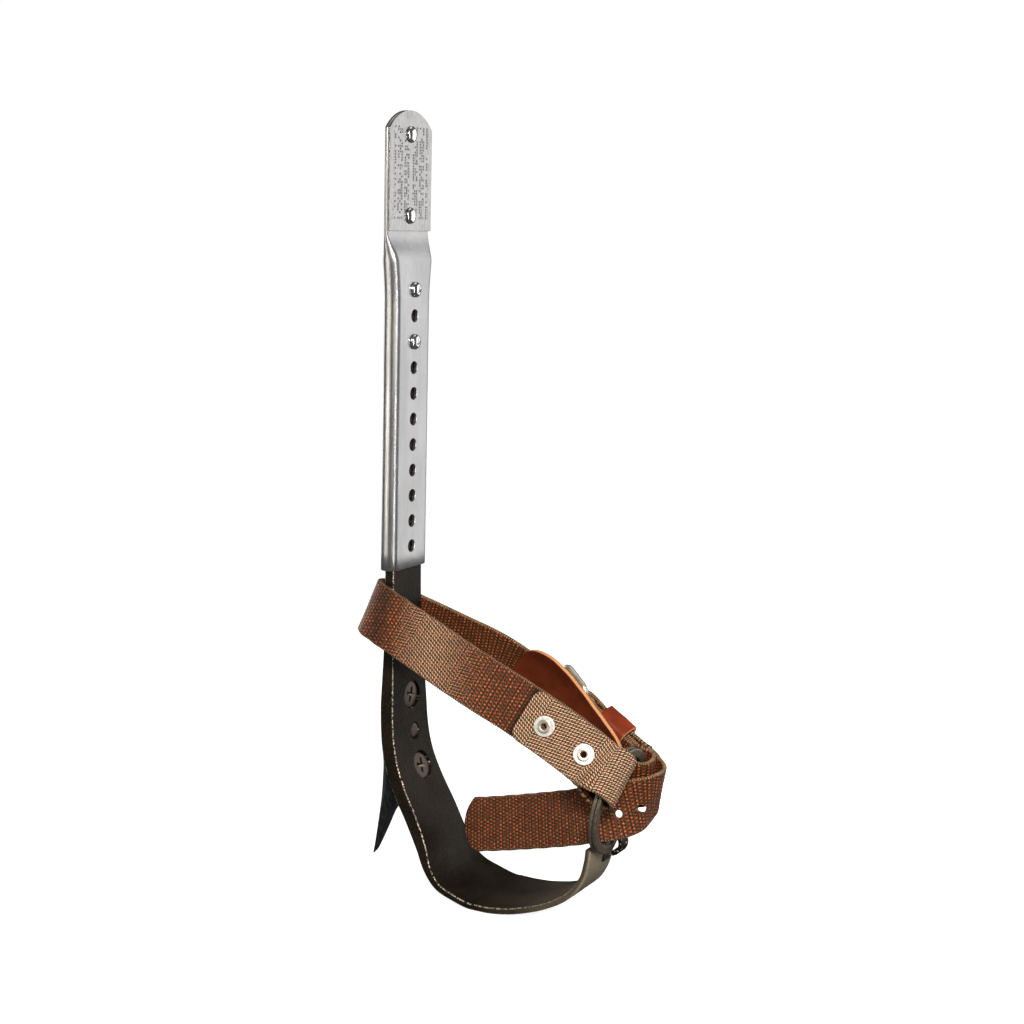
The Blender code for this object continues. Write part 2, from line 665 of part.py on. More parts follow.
def swept(name, points, radius, finish, sides=12, closed=False):
    """A round bar along points (mm)."""
    points = [Vector(p) for p in points]
    count = len(points)
    rings = []
    guide = (points[1] - points[0]).orthogonal().normalized()
    for i, p in enumerate(points):
        if closed:
            before, after = points[i - 1], points[(i + 1) % count]
        else:
            before, after = points[max(i - 1, 0)], points[min(i + 1, count - 1)]
        along = (after - before).normalized()
        guide = (guide - guide.dot(along) * along).normalized()
        other = along.cross(guide)
        rings.append([p + (guide * math.cos(a) + other * math.sin(a)) * radius
                      for a in (2 * math.pi * k / sides for k in range(sides))])
    return loft(name, rings, finish, closed=closed)


def make_buckle(finish):
    """A wire frame with a heel bar, a roller on its front bar and a tongue."""
    corner = BUCKLE_CORNER
    run, rise = FRONT_BAR
    points = []
    half = FRAME_HALF_WIDTH
    length = abs(run)
    outline = []
    for cu, cv, start in ((length - corner, half - corner, 0), (corner, half - corner, 90),
                          (corner, corner - half, 180), (length - corner, corner - half, 270)):
        for k in range(5):
            a = math.radians(start + 90 * k / 4)
            outline.append((cu + corner * math.cos(a), cv + corner * math.sin(a)))
    for along, up in outline:
        points.append(on_buckle(-along, up, rise * along / length))
    swept("buckle_frame", points, BAR_RADIUS, finish, closed=True)
    face = half - corner - 1.6
    tube = ((ROLLER_BORE, -face), (ROLLER_RADIUS, -face), (ROLLER_RADIUS, face),
            (ROLLER_BORE, face))
    roller = turned("buckle_roller", tube, on_buckle(run, 0, rise), BUCKLE_UP, finish, bore=True)
    eye = ((BAR_RADIUS + GAP, -1.45), (BAR_RADIUS + 1.9, -1.45), (BAR_RADIUS + 1.9, 1.45),
           (BAR_RADIUS + GAP, 1.45))
    tongue = turned("buckle_tongue", eye, BUCKLE_ORIGIN, BUCKLE_UP, finish, sides=20, bore=True)
    tip = rise + ROLLER_RADIUS + GAP + 0.2 + TONGUE_RADIUS
    stem = through(((-2.5, 1.4), (-8.0, 4.3), (-13.5, 7.4), (run, tip), (-20.5, tip - 0.3)), 3)
    stem = [on_buckle(a, 0, h) for a, h in stem]
    join(tongue, swept("tongue_stem", stem, TONGUE_RADIUS, finish))
    return roller, tongue


def layer_pair(rows):
    outer, inner = [], []
    centres = [Vector(r[:3]) for r in rows]
    for i, row in enumerate(rows):
        along = (centres[min(i + 1, len(rows) - 1)] - centres[max(i - 1, 0)]).normalized()
        up = Vector(row[3:6])
        up = (up - up.dot(along) * along).normalized()
        out = up.cross(along)
        outer.append(strap_row(centres[i] + out * row[6], up))
        inner.append(strap_row(centres[i] - out * row[6], up))
    return outer, inner


def buckle_strap_rows():
    """From its free end under the rivets, round the heel bar, along and round the ring."""
    up = tuple(BUCKLE_UP)
    loop = BAR_RADIUS + 0.5 + HALF_THICK
    rows = [(18.0, BUCKLE_STRAP_INNER), (9.0, BUCKLE_STRAP_INNER), (6.0, -2.1), (3.0, -loop)]
    for k in range(7):
        a = math.radians(-90 - 30 * k)
        rows.append((loop * math.cos(a), loop * math.sin(a)))
    rows += [(3.0, loop), (6.0, 2.1), (9.0, BUCKLE_STRAP_OUTER), (20.0, BUCKLE_STRAP_OUTER)]
    heel = [strap_row(on_buckle(a, 0, h), up) for a, h in rows]
    start = on_buckle(27.0, 0, 0)
    side = through(((*start, *up, 1.35), *RING_SIDE_RUN), 3)
    outer, inner = layer_pair(side)
    along = (Vector(RING_SIDE_RUN[-1][:3]) - Vector(RING_SIDE_RUN[-2][:3])).normalized()
    fold = fold_rows(outer[-1], inner[-1], along)
    back = [strap_row(on_buckle(22.0, 0, BUCKLE_STRAP_INNER), up)]
    return heel + outer + fold + list(reversed(inner)) + back


def make_buckle_strap(finish):
    strap = loft("buckle_strap", ribbon_rings(buckle_strap_rows(), STRAP_THICKNESS), finish)
    slot = [on_buckle(a, v, h) for a in (-6.0, 4.4)
            for v, h in ((-2.4, -6), (2.4, -6), (2.4, 6), (-2.4, 6))]
    cut(strap, loft("strap_slot", (slot[:4], slot[4:]), finish))
    for i, along in enumerate(BUCKLE_RIVETS):
        profile = ((1.9, 10.0), (1.9, -10.0))
        spot = on_buckle(along, 0, 0)
        cut(strap, turned(f"buckle_rivet_hole_{i}", profile, spot, BUCKLE_OUT, finish, sides=14))
    return strap


def make_pad(finish):
    up = tuple(BUCKLE_UP)
    rows = [strap_row(on_buckle(a, PAD_RISE, h), up, 2 * half) for a, h, half in PAD_RUN]
    rows = through(rows, 3)
    pad = loft("leather_pad", ribbon_rings(rows, PAD_THICKNESS), finish)
    for i, along in enumerate(BUCKLE_RIVETS):
        profile = ((1.9, 0.0), (1.9, -12.0))
        spot = on_buckle(along, 0, 0)
        cut(pad, turned(f"pad_rivet_hole_{i}", profile, spot, BUCKLE_OUT, finish, sides=14))
    return pad


def make_buckle_rivets(finish):
    """Rivets that close the buckle strap's loops on the leather pad."""
    for i, along in enumerate(BUCKLE_RIVETS):
        outer = BUCKLE_STRAP_OUTER + HALF_THICK + GAP + 0.05
        inner = -9.3
        head = outer + 0.5
        profile = ((2.0, head), (2.5, outer), (1.6, outer), (1.6, inner), (3.4, inner),
                   (3.0, inner - 0.8))
        turned(f"buckle_rivet_{i + 1}", profile, on_buckle(along, 0, 0), BUCKLE_OUT, finish, sides=20)


def make_keeper(finish):
    """A leather loop round the strap's two layers and the tail."""
    half = STRAP_WIDTH / 2 + 1.2
    low, high, corner = KEEPER_LOW, KEEPER_HIGH, KEEPER_CORNER
    path = []
    for cu, ch, start in ((half - corner, high - corner, 0), (corner - half, high - corner, 90),
                          (corner - half, low + corner, 180), (half - corner, low + corner, 270)):
        for k in range(5):
            a = math.radians(start + 90 * k / 4)
            path.append((cu + corner * math.cos(a), ch + corner * math.sin(a)))
    rings = []
    for i, (v, h) in enumerate(path):
        before, after = path[i - 1], path[(i + 1) % len(path)]
        along = Vector((after[0] - before[0], after[1] - before[1])).normalized()
        out = Vector((along.y, -along.x)) * KEEPER_THICKNESS
        low_a, high_a = KEEPER_ALONG - KEEPER_WIDTH / 2, KEEPER_ALONG + KEEPER_WIDTH / 2
        outer_v, outer_h = v + out.x, h + out.y
        rings.append([on_buckle(low_a, v, h), on_buckle(high_a, v, h),
                      on_buckle(high_a, outer_v, outer_h), on_buckle(low_a, outer_v, outer_h)])
    return loft("leather_keeper", rings, finish, closed=True)


def main():
    for old in list(bpy.data.objects):
        bpy.data.objects.remove(old, do_unlink=True)
    black = material("black_iron", (0.035, 0.03, 0.028), 0.5, 0.3)
    slate = material("gaff_steel", (0.09, 0.10, 0.11), 0.45, 0.7)
    bronze = material("dark_fastener", (0.10, 0.07, 0.05), 0.45, 0.8)
    aluminium = material("satin_aluminium", (0.42, 0.42, 0.43), 0.42, 0.9)
    bright = material("bright_plate", (0.62, 0.62, 0.63), 0.25, 1.0)
    dull = material("ring_steel", (0.22, 0.20, 0.18), 0.45, 0.8)
    nickel = material("nickel", (0.72, 0.70, 0.66), 0.2, 1.0)
    webbing = material("webbing", (0.12, 0.06, 0.035), 0.85, 0.0)
    leather = material("leather", (0.28, 0.07, 0.025), 0.5, 0.0)
    rows = iron_centre_line()
    make_leg_iron(black, rows)
    make_gaff(slate, rows)
    make_gaff_fasteners(bronze, rows)
    sliding = [make_sleeve(aluminium), *make_tag(bright, bright)]
    for obj in sliding:
        turns_about(obj, (0, 0, SLEEVE_BOTTOM_Z))
    make_sleeve_screws(bright)
    turns_about(make_ring(dull), ring_frame()[0])
    make_ankle_strap(webbing)
    make_strap_rivets(bright)
    roller, tongue = make_buckle(nickel)
    turns_about(roller, on_buckle(FRONT_BAR[0], 0, FRONT_BAR[1]))
    turns_about(tongue, BUCKLE_ORIGIN)
    make_buckle_strap(webbing)
    make_pad(leather)
    make_buckle_rivets(nickel)
    make_keeper(leather)


main()
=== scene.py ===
"""Looks of the tree climbing spur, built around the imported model."""

import math

import bmesh
import bpy
import numpy as np
from mathutils import Matrix, Vector
from mathutils.kdtree import KDTree


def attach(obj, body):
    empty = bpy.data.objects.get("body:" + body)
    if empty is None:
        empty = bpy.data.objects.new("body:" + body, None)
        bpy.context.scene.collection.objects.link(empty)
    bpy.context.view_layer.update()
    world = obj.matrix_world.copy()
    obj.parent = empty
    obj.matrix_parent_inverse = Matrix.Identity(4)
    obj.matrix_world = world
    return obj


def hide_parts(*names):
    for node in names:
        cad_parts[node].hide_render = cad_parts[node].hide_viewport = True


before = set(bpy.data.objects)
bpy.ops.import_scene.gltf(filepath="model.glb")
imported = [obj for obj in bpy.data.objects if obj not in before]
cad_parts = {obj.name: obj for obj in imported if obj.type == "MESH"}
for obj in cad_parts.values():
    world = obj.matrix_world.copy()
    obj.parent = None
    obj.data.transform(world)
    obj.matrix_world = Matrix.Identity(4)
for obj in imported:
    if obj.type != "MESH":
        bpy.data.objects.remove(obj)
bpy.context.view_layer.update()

MM = 0.001
FOOT_REST = np.array((61.0, 0.0, 3.2))   # the drawing's point at the part's origin, mm
GAP = 0.3                                # clearance between pieces that touch, mm
FORWARD = (1, 0, 0)                      # from the shank to the ring


# ------------------------------------------------------------ geometry helpers

def at(points):
    """Drawn points (mm) as points of the part (m)."""
    return (np.asarray(points, float) - FOOT_REST) * MM


def unit(v):
    v = np.asarray(v, float)
    return v / np.maximum(np.linalg.norm(v, axis=-1, keepdims=True), 1e-12)


def smoothstep(t):
    t = np.clip(t, 0.0, 1.0)
    return t * t * (3 - 2 * t)


def rise(value, low, high):
    """0 at low to 1 at high, eased at both ends."""
    return smoothstep((value - low) / (high - low))


def through(rows, between):
    """A smooth curve through the rows (Catmull-Rom), with `between` steps from row to row."""
    rows = [np.array(r, float) for r in rows]
    padded = [2 * rows[0] - rows[1], *rows, 2 * rows[-1] - rows[-2]]
    found = []
    for a, b, c, d in zip(padded, padded[1:], padded[2:], padded[3:]):
        for i in range(between):
            t = i / between
            found.append(0.5 * (2 * b + (c - a) * t + (2 * a - 5 * b + 4 * c - d) * t ** 2
                                + (3 * b - a - 3 * c + d) * t ** 3))
    return np.array([*found, rows[-1]])


def resampled(rows, step):
    """Rows spaced evenly along their first three columns, and each row's distance."""
    rows = np.asarray(rows, float)
    length = np.r_[0, np.cumsum(np.linalg.norm(np.diff(rows[:, :3], axis=0), axis=1))]
    count = max(int(round(length[-1] / step)), 2)
    s = np.linspace(0, length[-1], count + 1)
    return np.column_stack([np.interp(s, length, rows[:, k]) for k in range(rows.shape[1])]), s


def crosswise(rows):
    """The up and out directions square to a run of (point, up, ...) rows."""
    along = unit(np.gradient(rows[:, :3], axis=0))
    up = unit(rows[:, 3:6] - (rows[:, 3:6] * along).sum(1, keepdims=True) * along)
    return up, unit(np.cross(up, along))


def square_to(axis):
    """The unit axis and two directions square to it."""
    axis = Vector(axis).normalized()
    across = axis.orthogonal().normalized()
    return axis, across, axis.cross(across)


def eased(before, p, after, radius, share, steps=4):
    """The corner at p rounded off; share limits how much of each side it takes."""
    a, b = before - p, after - p
    reach = min(radius, a.length * share, b.length * share)
    start, end = p + a.normalized() * reach, p + b.normalized() * reach
    return [start * (1 - t) ** 2 + p * 2 * t * (1 - t) + end * t * t
            for t in (k / steps for k in range(steps + 1))]


def rounded(profile, radius, steps=4):
    """The (r, h) profile with its corners rounded."""
    points = [Vector(p) for p in profile]
    found = [tuple(points[0])]
    for before, p, after in zip(points, points[1:], points[2:]):
        found += [tuple(q) for q in eased(before, p, after, radius, 0.45, steps)]
    return [*found, tuple(points[-1])]


def ring_profile(inner, outer, low, high, radius, middle=0.0, seam=0.1):
    """The closed (r, h) profile of a washer or a tube, from the middle of its bore."""
    return rounded(((inner, middle), (inner, low), (outer, low), (outer, high),
                    (inner, high), (inner, middle + seam)), radius)


def dome_profile(radius, height, base, first):
    """(r, h) rows of a domed head, from `first` degrees off its pole to its rim."""
    return [(radius * math.sin(a), base + height * math.cos(a))
            for a in np.radians(np.linspace(first, 90, 14))]


def rounded_box(low, high, radius, steps=8):
    """Points round a rectangle with rounded corners, from its low to its high corner."""
    (u0, v0), (u1, v1) = low, high
    corners = ((u1 - radius, v1 - radius, 0), (u0 + radius, v1 - radius, 90),
               (u0 + radius, v0 + radius, 180), (u1 - radius, v0 + radius, 270))
    return [(u + math.cos(a) * radius, v + math.sin(a) * radius) for u, v, start in corners
            for a in (math.radians(start + 90 * k / steps) for k in range(steps + 1))]


def piece(name, points, faces, material, sharp, attributes=()):
    """A mesh object from drawn points (mm), with edges sharp from that many degrees."""
    mesh = bpy.data.meshes.new(name)
    mesh.from_pydata(at(points).tolist(), [], [list(f) for f in faces])
    for key, values in attributes:
        values = np.asarray(values, np.float32)
        kind = "FLOAT" if values.ndim == 1 else "FLOAT_VECTOR"
        layer = mesh.attributes.new(key, kind, "POINT")
        layer.data.foreach_set("value" if kind == "FLOAT" else "vector", values.ravel())
    mesh.validate()
    bm = bmesh.new()
    bm.from_mesh(mesh)
    bmesh.ops.recalc_face_normals(bm, faces=bm.faces)
    bm.to_mesh(mesh)
    bm.free()
    mesh.shade_smooth()
    mesh.set_sharp_from_angle(angle=math.radians(sharp))
    mesh.materials.append(material)
    found = bpy.data.objects.new(name, mesh)
    bpy.context.scene.collection.objects.link(found)
    return found


def lofted(name, rings, material, closed=False, sharp=40.0, attributes=()):
    """A solid through equal rings of points; its ends are capped, or joined when closed."""
    rings = np.asarray(rings, float)
    n, m = rings.shape[:2]
    faces = []
    for i in range(n if closed else n - 1):
        a, b = i * m, ((i + 1) % n) * m
        faces += [(a + j, a + (j + 1) % m, b + (j + 1) % m, b + j) for j in range(m)]
    if not closed:
        faces += [tuple(range(m)), tuple(range((n - 1) * m, n * m))]
    flat = [(key, np.asarray(v).reshape(n * m, -1).squeeze()) for key, v in attributes]
    return piece(name, rings.reshape(-1, 3), faces, material, sharp=sharp, attributes=flat)


def turned(name, profile, origin, axis, material, sides=48, closed=False, sharp=35.0):
    """A solid of revolution from (radius, height) rows; closed for a ring-shaped profile."""
    axis, across, other = square_to(axis)
    origin = Vector(origin)
    rings = []
    for k in range(sides):
        a = 2 * math.pi * k / sides
        out = across * math.cos(a) + other * math.sin(a)
        rings.append([origin + out * max(r, 0.0) + axis * h for r, h in profile])
    rings = np.array(rings)
    n, m = rings.shape[:2]
    if closed:
        return lofted(name, rings, material, closed=True, sharp=sharp)
    points = [*rings.reshape(-1, 3), np.array(origin + axis * profile[0][1]),
              np.array(origin + axis * profile[-1][1])]
    faces = []
    for k in range(n):
        a, b = k * m, ((k + 1) % n) * m
        faces += [(a + i, a + i + 1, b + i + 1, b + i) for i in range(m - 1)]
        faces += [(n * m, a, b), (n * m + 1, b + m - 1, a + m - 1)]
    return piece(name, points, faces, material, sharp=sharp)


def drill(radius, front, back, spot, axis, material, sides=24):
    """A cutter for a straight round hole, from front to back along the axis."""
    return turned("hole", ((radius, front), (radius, back)), spot, axis, material, sides)


def swept(name, points, radius, material, sides=18, closed=False):
    """A round bar along points (mm), with rounded ends."""
    def ring(centre, guide, other, reach):
        return [tuple(centre + (guide * math.cos(a) + other * math.sin(a)) * reach)
                for a in (2 * math.pi * k / sides for k in range(sides))]

    points = [Vector(p) for p in points]
    guide = (points[1] - points[0]).orthogonal().normalized()
    stations = []
    for i, p in enumerate(points):
        before = points[i - 1] if closed or i else p
        after = points[(i + 1) % len(points)] if closed or i + 1 < len(points) else p
        along = (after - before).normalized()
        guide = (guide - guide.dot(along) * along).normalized()
        stations.append((p, along, guide, along.cross(guide)))
    rings = [ring(p, guide, other, radius) for p, _, guide, other in stations]
    if not closed:
        for which, sign in ((0, -1), (-1, 1)):
            p, along, guide, other = stations[which]
            dome = [ring(p + along * sign * radius * t * 0.8, guide, other,
                         radius * math.sqrt(1 - t * t)) for t in (0.35, 0.65, 0.88, 0.985)]
            rings = [*reversed(dome), *rings] if which == 0 else [*rings, *dome]
    return lofted(name, rings, material, closed=closed, sharp=60.0)


def apply_cut(target, cutters, sharp=None, operation="DIFFERENCE"):
    """Boolean with each cutter, applied, and the cutters removed; then sharp edges marked."""
    for cutter in cutters:
        step = target.modifiers.new("cut", "BOOLEAN")
        step.operation = operation
        step.solver = "EXACT"
        step.object = cutter
    depsgraph = bpy.context.evaluated_depsgraph_get()
    target_mesh = bpy.data.meshes.new_from_object(target.evaluated_get(depsgraph))
    target.modifiers.clear()
    target.data = target_mesh
    for cutter in cutters:
        bpy.data.objects.remove(cutter, do_unlink=True)
    if sharp is not None:
        target_mesh.shade_smooth()
        target_mesh.set_sharp_from_angle(angle=math.radians(sharp))
    return target


# ------------------------------------------------------------ node helpers

class Value:
    """An output of a graph's node; arithmetic on it adds Math nodes."""

    def __init__(self, graph, socket):
        self.graph, self.socket = graph, socket

    def __add__(self, other):
        return self.graph.math("ADD", self, other)

    def __sub__(self, other):
        return self.graph.math("SUBTRACT", self, other)

    def __rsub__(self, other):
        return self.graph.math("SUBTRACT", other, self)

    def __mul__(self, other):
        return self.graph.math("MULTIPLY", self, other)

    def __truediv__(self, other):
        return self.graph.math("DIVIDE", self, other)

    def __abs__(self):
        return self.graph.math("ABSOLUTE", self)


class Graph:
    """Short calls for building one material's nodes."""

    def __init__(self, name):
        self.material = bpy.data.materials.new(name)
        self.material.use_nodes = True
        self.tree = self.material.node_tree
        self.shader = self.tree.nodes["Principled BSDF"]

    def node(self, kind, *values, **settings):
        """A new node, with values or links for its first sockets."""
        found = self.tree.nodes.new(kind)
        for key, value in settings.items():
            setattr(found, key, value)
        for value, socket in zip(values, found.inputs):
            self.link(value, socket)
        return found

    def link(self, value, socket):
        if isinstance(value, Value):
            self.tree.links.new(value.socket, socket)
        else:
            socket.default_value = value

    def math(self, operation, *values):
        return Value(self, self.node("ShaderNodeMath", *values, operation=operation).outputs[0])

    def ramp(self, value, low, high, to_low=0.0, to_high=1.0, smooth=True):
        found = self.node("ShaderNodeMapRange", value, low, high, to_low, to_high,
                          interpolation_type="SMOOTHSTEP" if smooth else "LINEAR")
        return Value(self, found.outputs[0])

    def mix(self, factor, a, b):
        found = self.node("ShaderNodeMix", factor, data_type="RGBA")
        for value, socket in ((a, found.inputs[6]), (b, found.inputs[7])):
            self.link((*value, 1.0) if isinstance(value, tuple) else value, socket)
        return Value(self, found.outputs[2])

    def attribute(self, name, output="Fac"):
        return Value(self, self.node("ShaderNodeAttribute", attribute_name=name).outputs[output])

    def split(self, vector):
        return [Value(self, o) for o in self.node("ShaderNodeSeparateXYZ", vector).outputs]

    def place(self, *scale):
        """The piece's own coordinates, scaled; positions are in metres."""
        coords = Value(self, self.node("ShaderNodeTexCoord").outputs["Object"])
        found = self.node("ShaderNodeMapping", coords)
        found.inputs["Scale"].default_value = scale or (1.0, 1.0, 1.0)
        return Value(self, found.outputs[0])

    def texture(self, kind, output, vector, **inputs):
        feature = {"feature": inputs.pop("feature")} if "feature" in inputs else {}
        found = self.node(kind, vector, **feature)
        for key, value in inputs.items():
            found.inputs[key].default_value = value
        return Value(self, found.outputs[output])

    def noise(self, vector, scale, detail=3.0, roughness=0.55):
        return self.texture("ShaderNodeTexNoise", "Fac", vector, Scale=scale, Detail=detail,
                            Roughness=roughness)

    def cells(self, vector, scale, feature="F1"):
        return self.texture("ShaderNodeTexVoronoi", "Distance", vector, Scale=scale,
                            feature=feature)

    def random(self, x, y):
        place = Value(self, self.node("ShaderNodeCombineXYZ", x, y).outputs[0])
        return self.texture("ShaderNodeTexWhiteNoise", "Value", place)

    def bump(self, height, distance, strength, normal=None):
        found = self.node("ShaderNodeBump")
        inputs = {"Height": height, "Distance": distance, "Strength": strength}
        if normal is not None:
            inputs["Normal"] = normal
        for key, value in inputs.items():
            self.link(value, found.inputs[key])
        return Value(self, found.outputs[0])

    def surface(self, **inputs):
        for key, value in inputs.items():
            value = (*value, 1.0) if isinstance(value, tuple) and len(value) == 3 else value
            self.link(value, self.shader.inputs[key.replace("_", " ")])
        return self.material


# ------------------------------------------------------------ materials

def iron_paint():
    """Textured black coating, with wear to bright steel along the arrises, a painted sheen on the
    tread and a painted reflection on the arm's outer face.
    """
    g = Graph("worn_black_coating")
    here = g.place()
    grain = g.noise(here, 900.0, 4.0, 0.6)
    blotch = g.noise(here, 45.0)
    colour = g.mix(g.ramp(blotch, 0.3, 0.7), (0.0040, 0.0030, 0.0021), (0.012, 0.0090, 0.0060))
    colour = g.mix(g.ramp(grain, 0.52, 0.72, 0.0, 0.5), colour, (0.045, 0.034, 0.023))
    chips = g.noise(here, 1100.0, 3.0, 0.75)
    wear_and_painted_light = g.ramp(g.attribute("edge"), 0.2, 0.7) * g.ramp(chips, 0.47, 0.56)
    colour = g.mix(wear_and_painted_light, colour, (0.60, 0.54, 0.44))
    # painted sheen: the tread turns paler tan towards the arm
    painted_tread_sheen = g.attribute("tread") * g.ramp(blotch, 0.25, 0.8, 0.35, 0.95)
    colour = g.mix(painted_tread_sheen * 0.85, colour, (0.105, 0.086, 0.060))
    # painted reflection: the arm's outer face brighter and partly metallic
    painted_arm_reflection = g.attribute("painted_arm_reflection") * g.ramp(grain, 0.2, 0.6, 0.65, 1.0)
    colour = g.mix(painted_arm_reflection, colour, (0.34, 0.295, 0.225))
    normal = g.bump(g.cells(here, 700.0), 0.00020, 0.6, g.bump(grain, 0.00034, 0.9))
    return g.surface(Base_Color=colour, Metallic=g.math("MAXIMUM", wear_and_painted_light * 0.6, painted_arm_reflection * 0.5),
                     Roughness=g.ramp(grain, 0.2, 0.8, 0.36, 0.60) - wear_and_painted_light * 0.12, Normal=normal,
                     Specular_IOR_Level=0.12, Specular_Tint=(1.0, 0.86, 0.70))


def steel(name, dark, light, rough, streak=(60.0, 60.0, 60.0), metallic=0.9, depth=0.00004):
    """Bare or plated steel with streaks, stains and fine scratches."""
    g = Graph(name)
    streaks = g.noise(g.place(*streak), 14.0, 4.0, 0.65)
    stains = g.noise(g.place(), 120.0)
    fine = g.noise(g.place(), 2400.0, 2.0)
    colour = g.mix(g.ramp(streaks, 0.3, 0.7), dark, light)
    colour = g.mix(g.ramp(stains, 0.55, 0.75, 0.0, 0.35), colour, tuple(0.55 * c for c in dark))
    roughness = (g.ramp(streaks, 0.25, 0.75, rough - 0.06, rough + 0.07)
                 + g.ramp(fine, 0.3, 0.7, -0.03, 0.03))
    return g.surface(Base_Color=colour, Roughness=roughness, Metallic=metallic,
                     Normal=g.bump(streaks + fine * 0.4, depth, 0.6))


def aluminium():
    """Satin extruded aluminium with fine lengthwise lines and a few scuffs."""
    g = Graph("satin_aluminium")
    lines = g.noise(g.place(1.0, 1.0, 0.02), 2600.0, 3.0, 0.6)
    cloud = g.noise(g.place(1.0, 1.0, 0.35), 60.0)
    grain = g.noise(g.place(), 1500.0, 3.0, 0.7)
    scuff = g.cells(g.place(1.0, 1.0, 0.12), 160.0, "DISTANCE_TO_EDGE")
    colour = g.mix(g.ramp(cloud, 0.3, 0.7), (0.35, 0.355, 0.365), (0.44, 0.446, 0.456))
    colour = g.mix(g.ramp(grain, 0.35, 0.65, 0.0, 0.35), colour, (0.40, 0.406, 0.418))
    rough = g.ramp(lines, 0.3, 0.7, 0.28, 0.38) + g.ramp(grain, 0.3, 0.7, -0.04, 0.05)
    height = lines * 0.6 + grain * 0.8 - g.ramp(scuff, 0.012, 0.0, 0.0, 0.6)
    return g.surface(Base_Color=colour, Roughness=rough, Metallic=0.95,
                     Normal=g.bump(height, 0.00003, 0.5))


PITCH_ALONG = 2.1        # mm from one row of picks to the next, along the webbing
PITCH_ACROSS = 1.85      # mm between picks across the webbing
YARN_ALONG = 1.45        # the same for the slanted ground yarns
YARN_ACROSS = 1.5
YARN_SLANT = 0.75        # pitches that a ground yarn climbs within its row
LOOP_PITCH = 1.05        # mm between the selvedge's loops


def webbing():
    """Woven nylon: brown ground of slanted yarns, staggered orange-red picks, tan selvedges.

    The mesh gives each point its place in the weave and its painted light: 1 is sheen, -1 is shade.
    """
    g = Graph("brown_webbing")
    weave, wear_and_painted_light = g.attribute("weave", "Vector"), g.attribute("wear_and_painted_light")
    s, v, side = g.split(weave)
    index = g.math("FLOOR", s / PITCH_ALONG)
    x = g.math("FRACT", s / PITCH_ALONG) - 0.5
    row = v / PITCH_ACROSS + g.math("MODULO", abs(index), 2.0) * 0.5
    y = g.math("FRACT", row) - 0.5
    dx, dy = x * PITCH_ALONG / 0.62, y * PITCH_ACROSS / 0.52
    pick = g.ramp(g.math("SQRT", dx * dx + dy * dy), 1.1, 0.6)
    yarn = g.math("FLOOR", s / YARN_ALONG)
    tx = g.math("FRACT", s / YARN_ALONG) - 0.5
    turned_back = g.math("LESS_THAN", g.math("FLOORED_MODULO", yarn, 27.0), 6.0)
    slant = turned_back * (2 * YARN_SLANT) - YARN_SLANT
    phase = v / YARN_ACROSS + tx * slant + yarn * (slant + 0.5)
    twist = g.math("COSINE", phase * (2 * math.pi))
    seam = g.ramp(abs(tx), 0.30, 0.48)
    thread = g.ramp(twist, -0.15, 0.75) * (1.0 - seam)
    fuzz = g.noise(weave, 3.4, 4.0, 0.7)
    cloud = g.noise(weave, 0.09, 3.0, 0.6)
    # painted sheen: the gaps between yarns turn darker where the sheen is painted
    gap = g.mix(wear_and_painted_light, (0.036, 0.0160, 0.0056), (0.010, 0.0050, 0.0020))
    ground = g.mix(thread, gap, (0.120, 0.051, 0.0175))
    ground = g.mix(g.ramp(fuzz, 0.4, 0.75, 0.0, 0.4), ground, (0.11, 0.056, 0.022))
    red = g.mix(g.random(index, g.math("FLOOR", row)), (0.30, 0.038, 0.012), (0.84, 0.165, 0.050))
    # the picks fade under the painted sheen
    strength = (pick * g.ramp(cloud, 0.25, 0.65, 0.6, 1.0)
                * g.ramp(wear_and_painted_light, 0.0, 1.0, 1.0, 0.5, smooth=False))
    colour = g.mix(strength, ground, red)
    # painted shade: darker where the painted light is negative
    colour = g.mix(g.ramp(wear_and_painted_light, 0.0, -1.0), colour, (0.010, 0.0052, 0.0024))
    # painted sheen: the yarns lit pale tan
    pale = (g.math("MAXIMUM", wear_and_painted_light, 0.0) * (thread * 0.92 + 0.06)
            * g.ramp(fuzz, 0.25, 0.6, 0.55, 1.0))
    colour = g.mix(pale, colour, (0.90, 0.61, 0.39))
    colour = g.mix(seam * 0.62, colour, (0.008, 0.0045, 0.0025))
    rim = g.math("MAXIMUM", g.ramp(abs(side), 0.8, 0.3), g.ramp(abs(v), 12.5, 13.1))
    loops = g.math("SINE", s * (2 * math.pi / LOOP_PITCH))
    tan = g.mix(g.ramp(loops + fuzz * 1.5, 0.0, 1.4), (0.012, 0.0070, 0.0040), (0.36, 0.225, 0.120))
    colour = g.mix(rim * 0.8, colour, tan)
    height = pick * 0.8 + thread * 0.5 - seam * 0.8 + fuzz * 0.5
    return g.surface(Base_Color=colour, Roughness=g.ramp(fuzz, 0.3, 0.7, 0.40, 0.60),
                     Normal=g.bump(height, 0.00024, 0.9), Specular_IOR_Level=0.22,
                     Sheen_Weight=0.04, Sheen_Roughness=0.4, Sheen_Tint=(1.0, 0.86, 0.70))


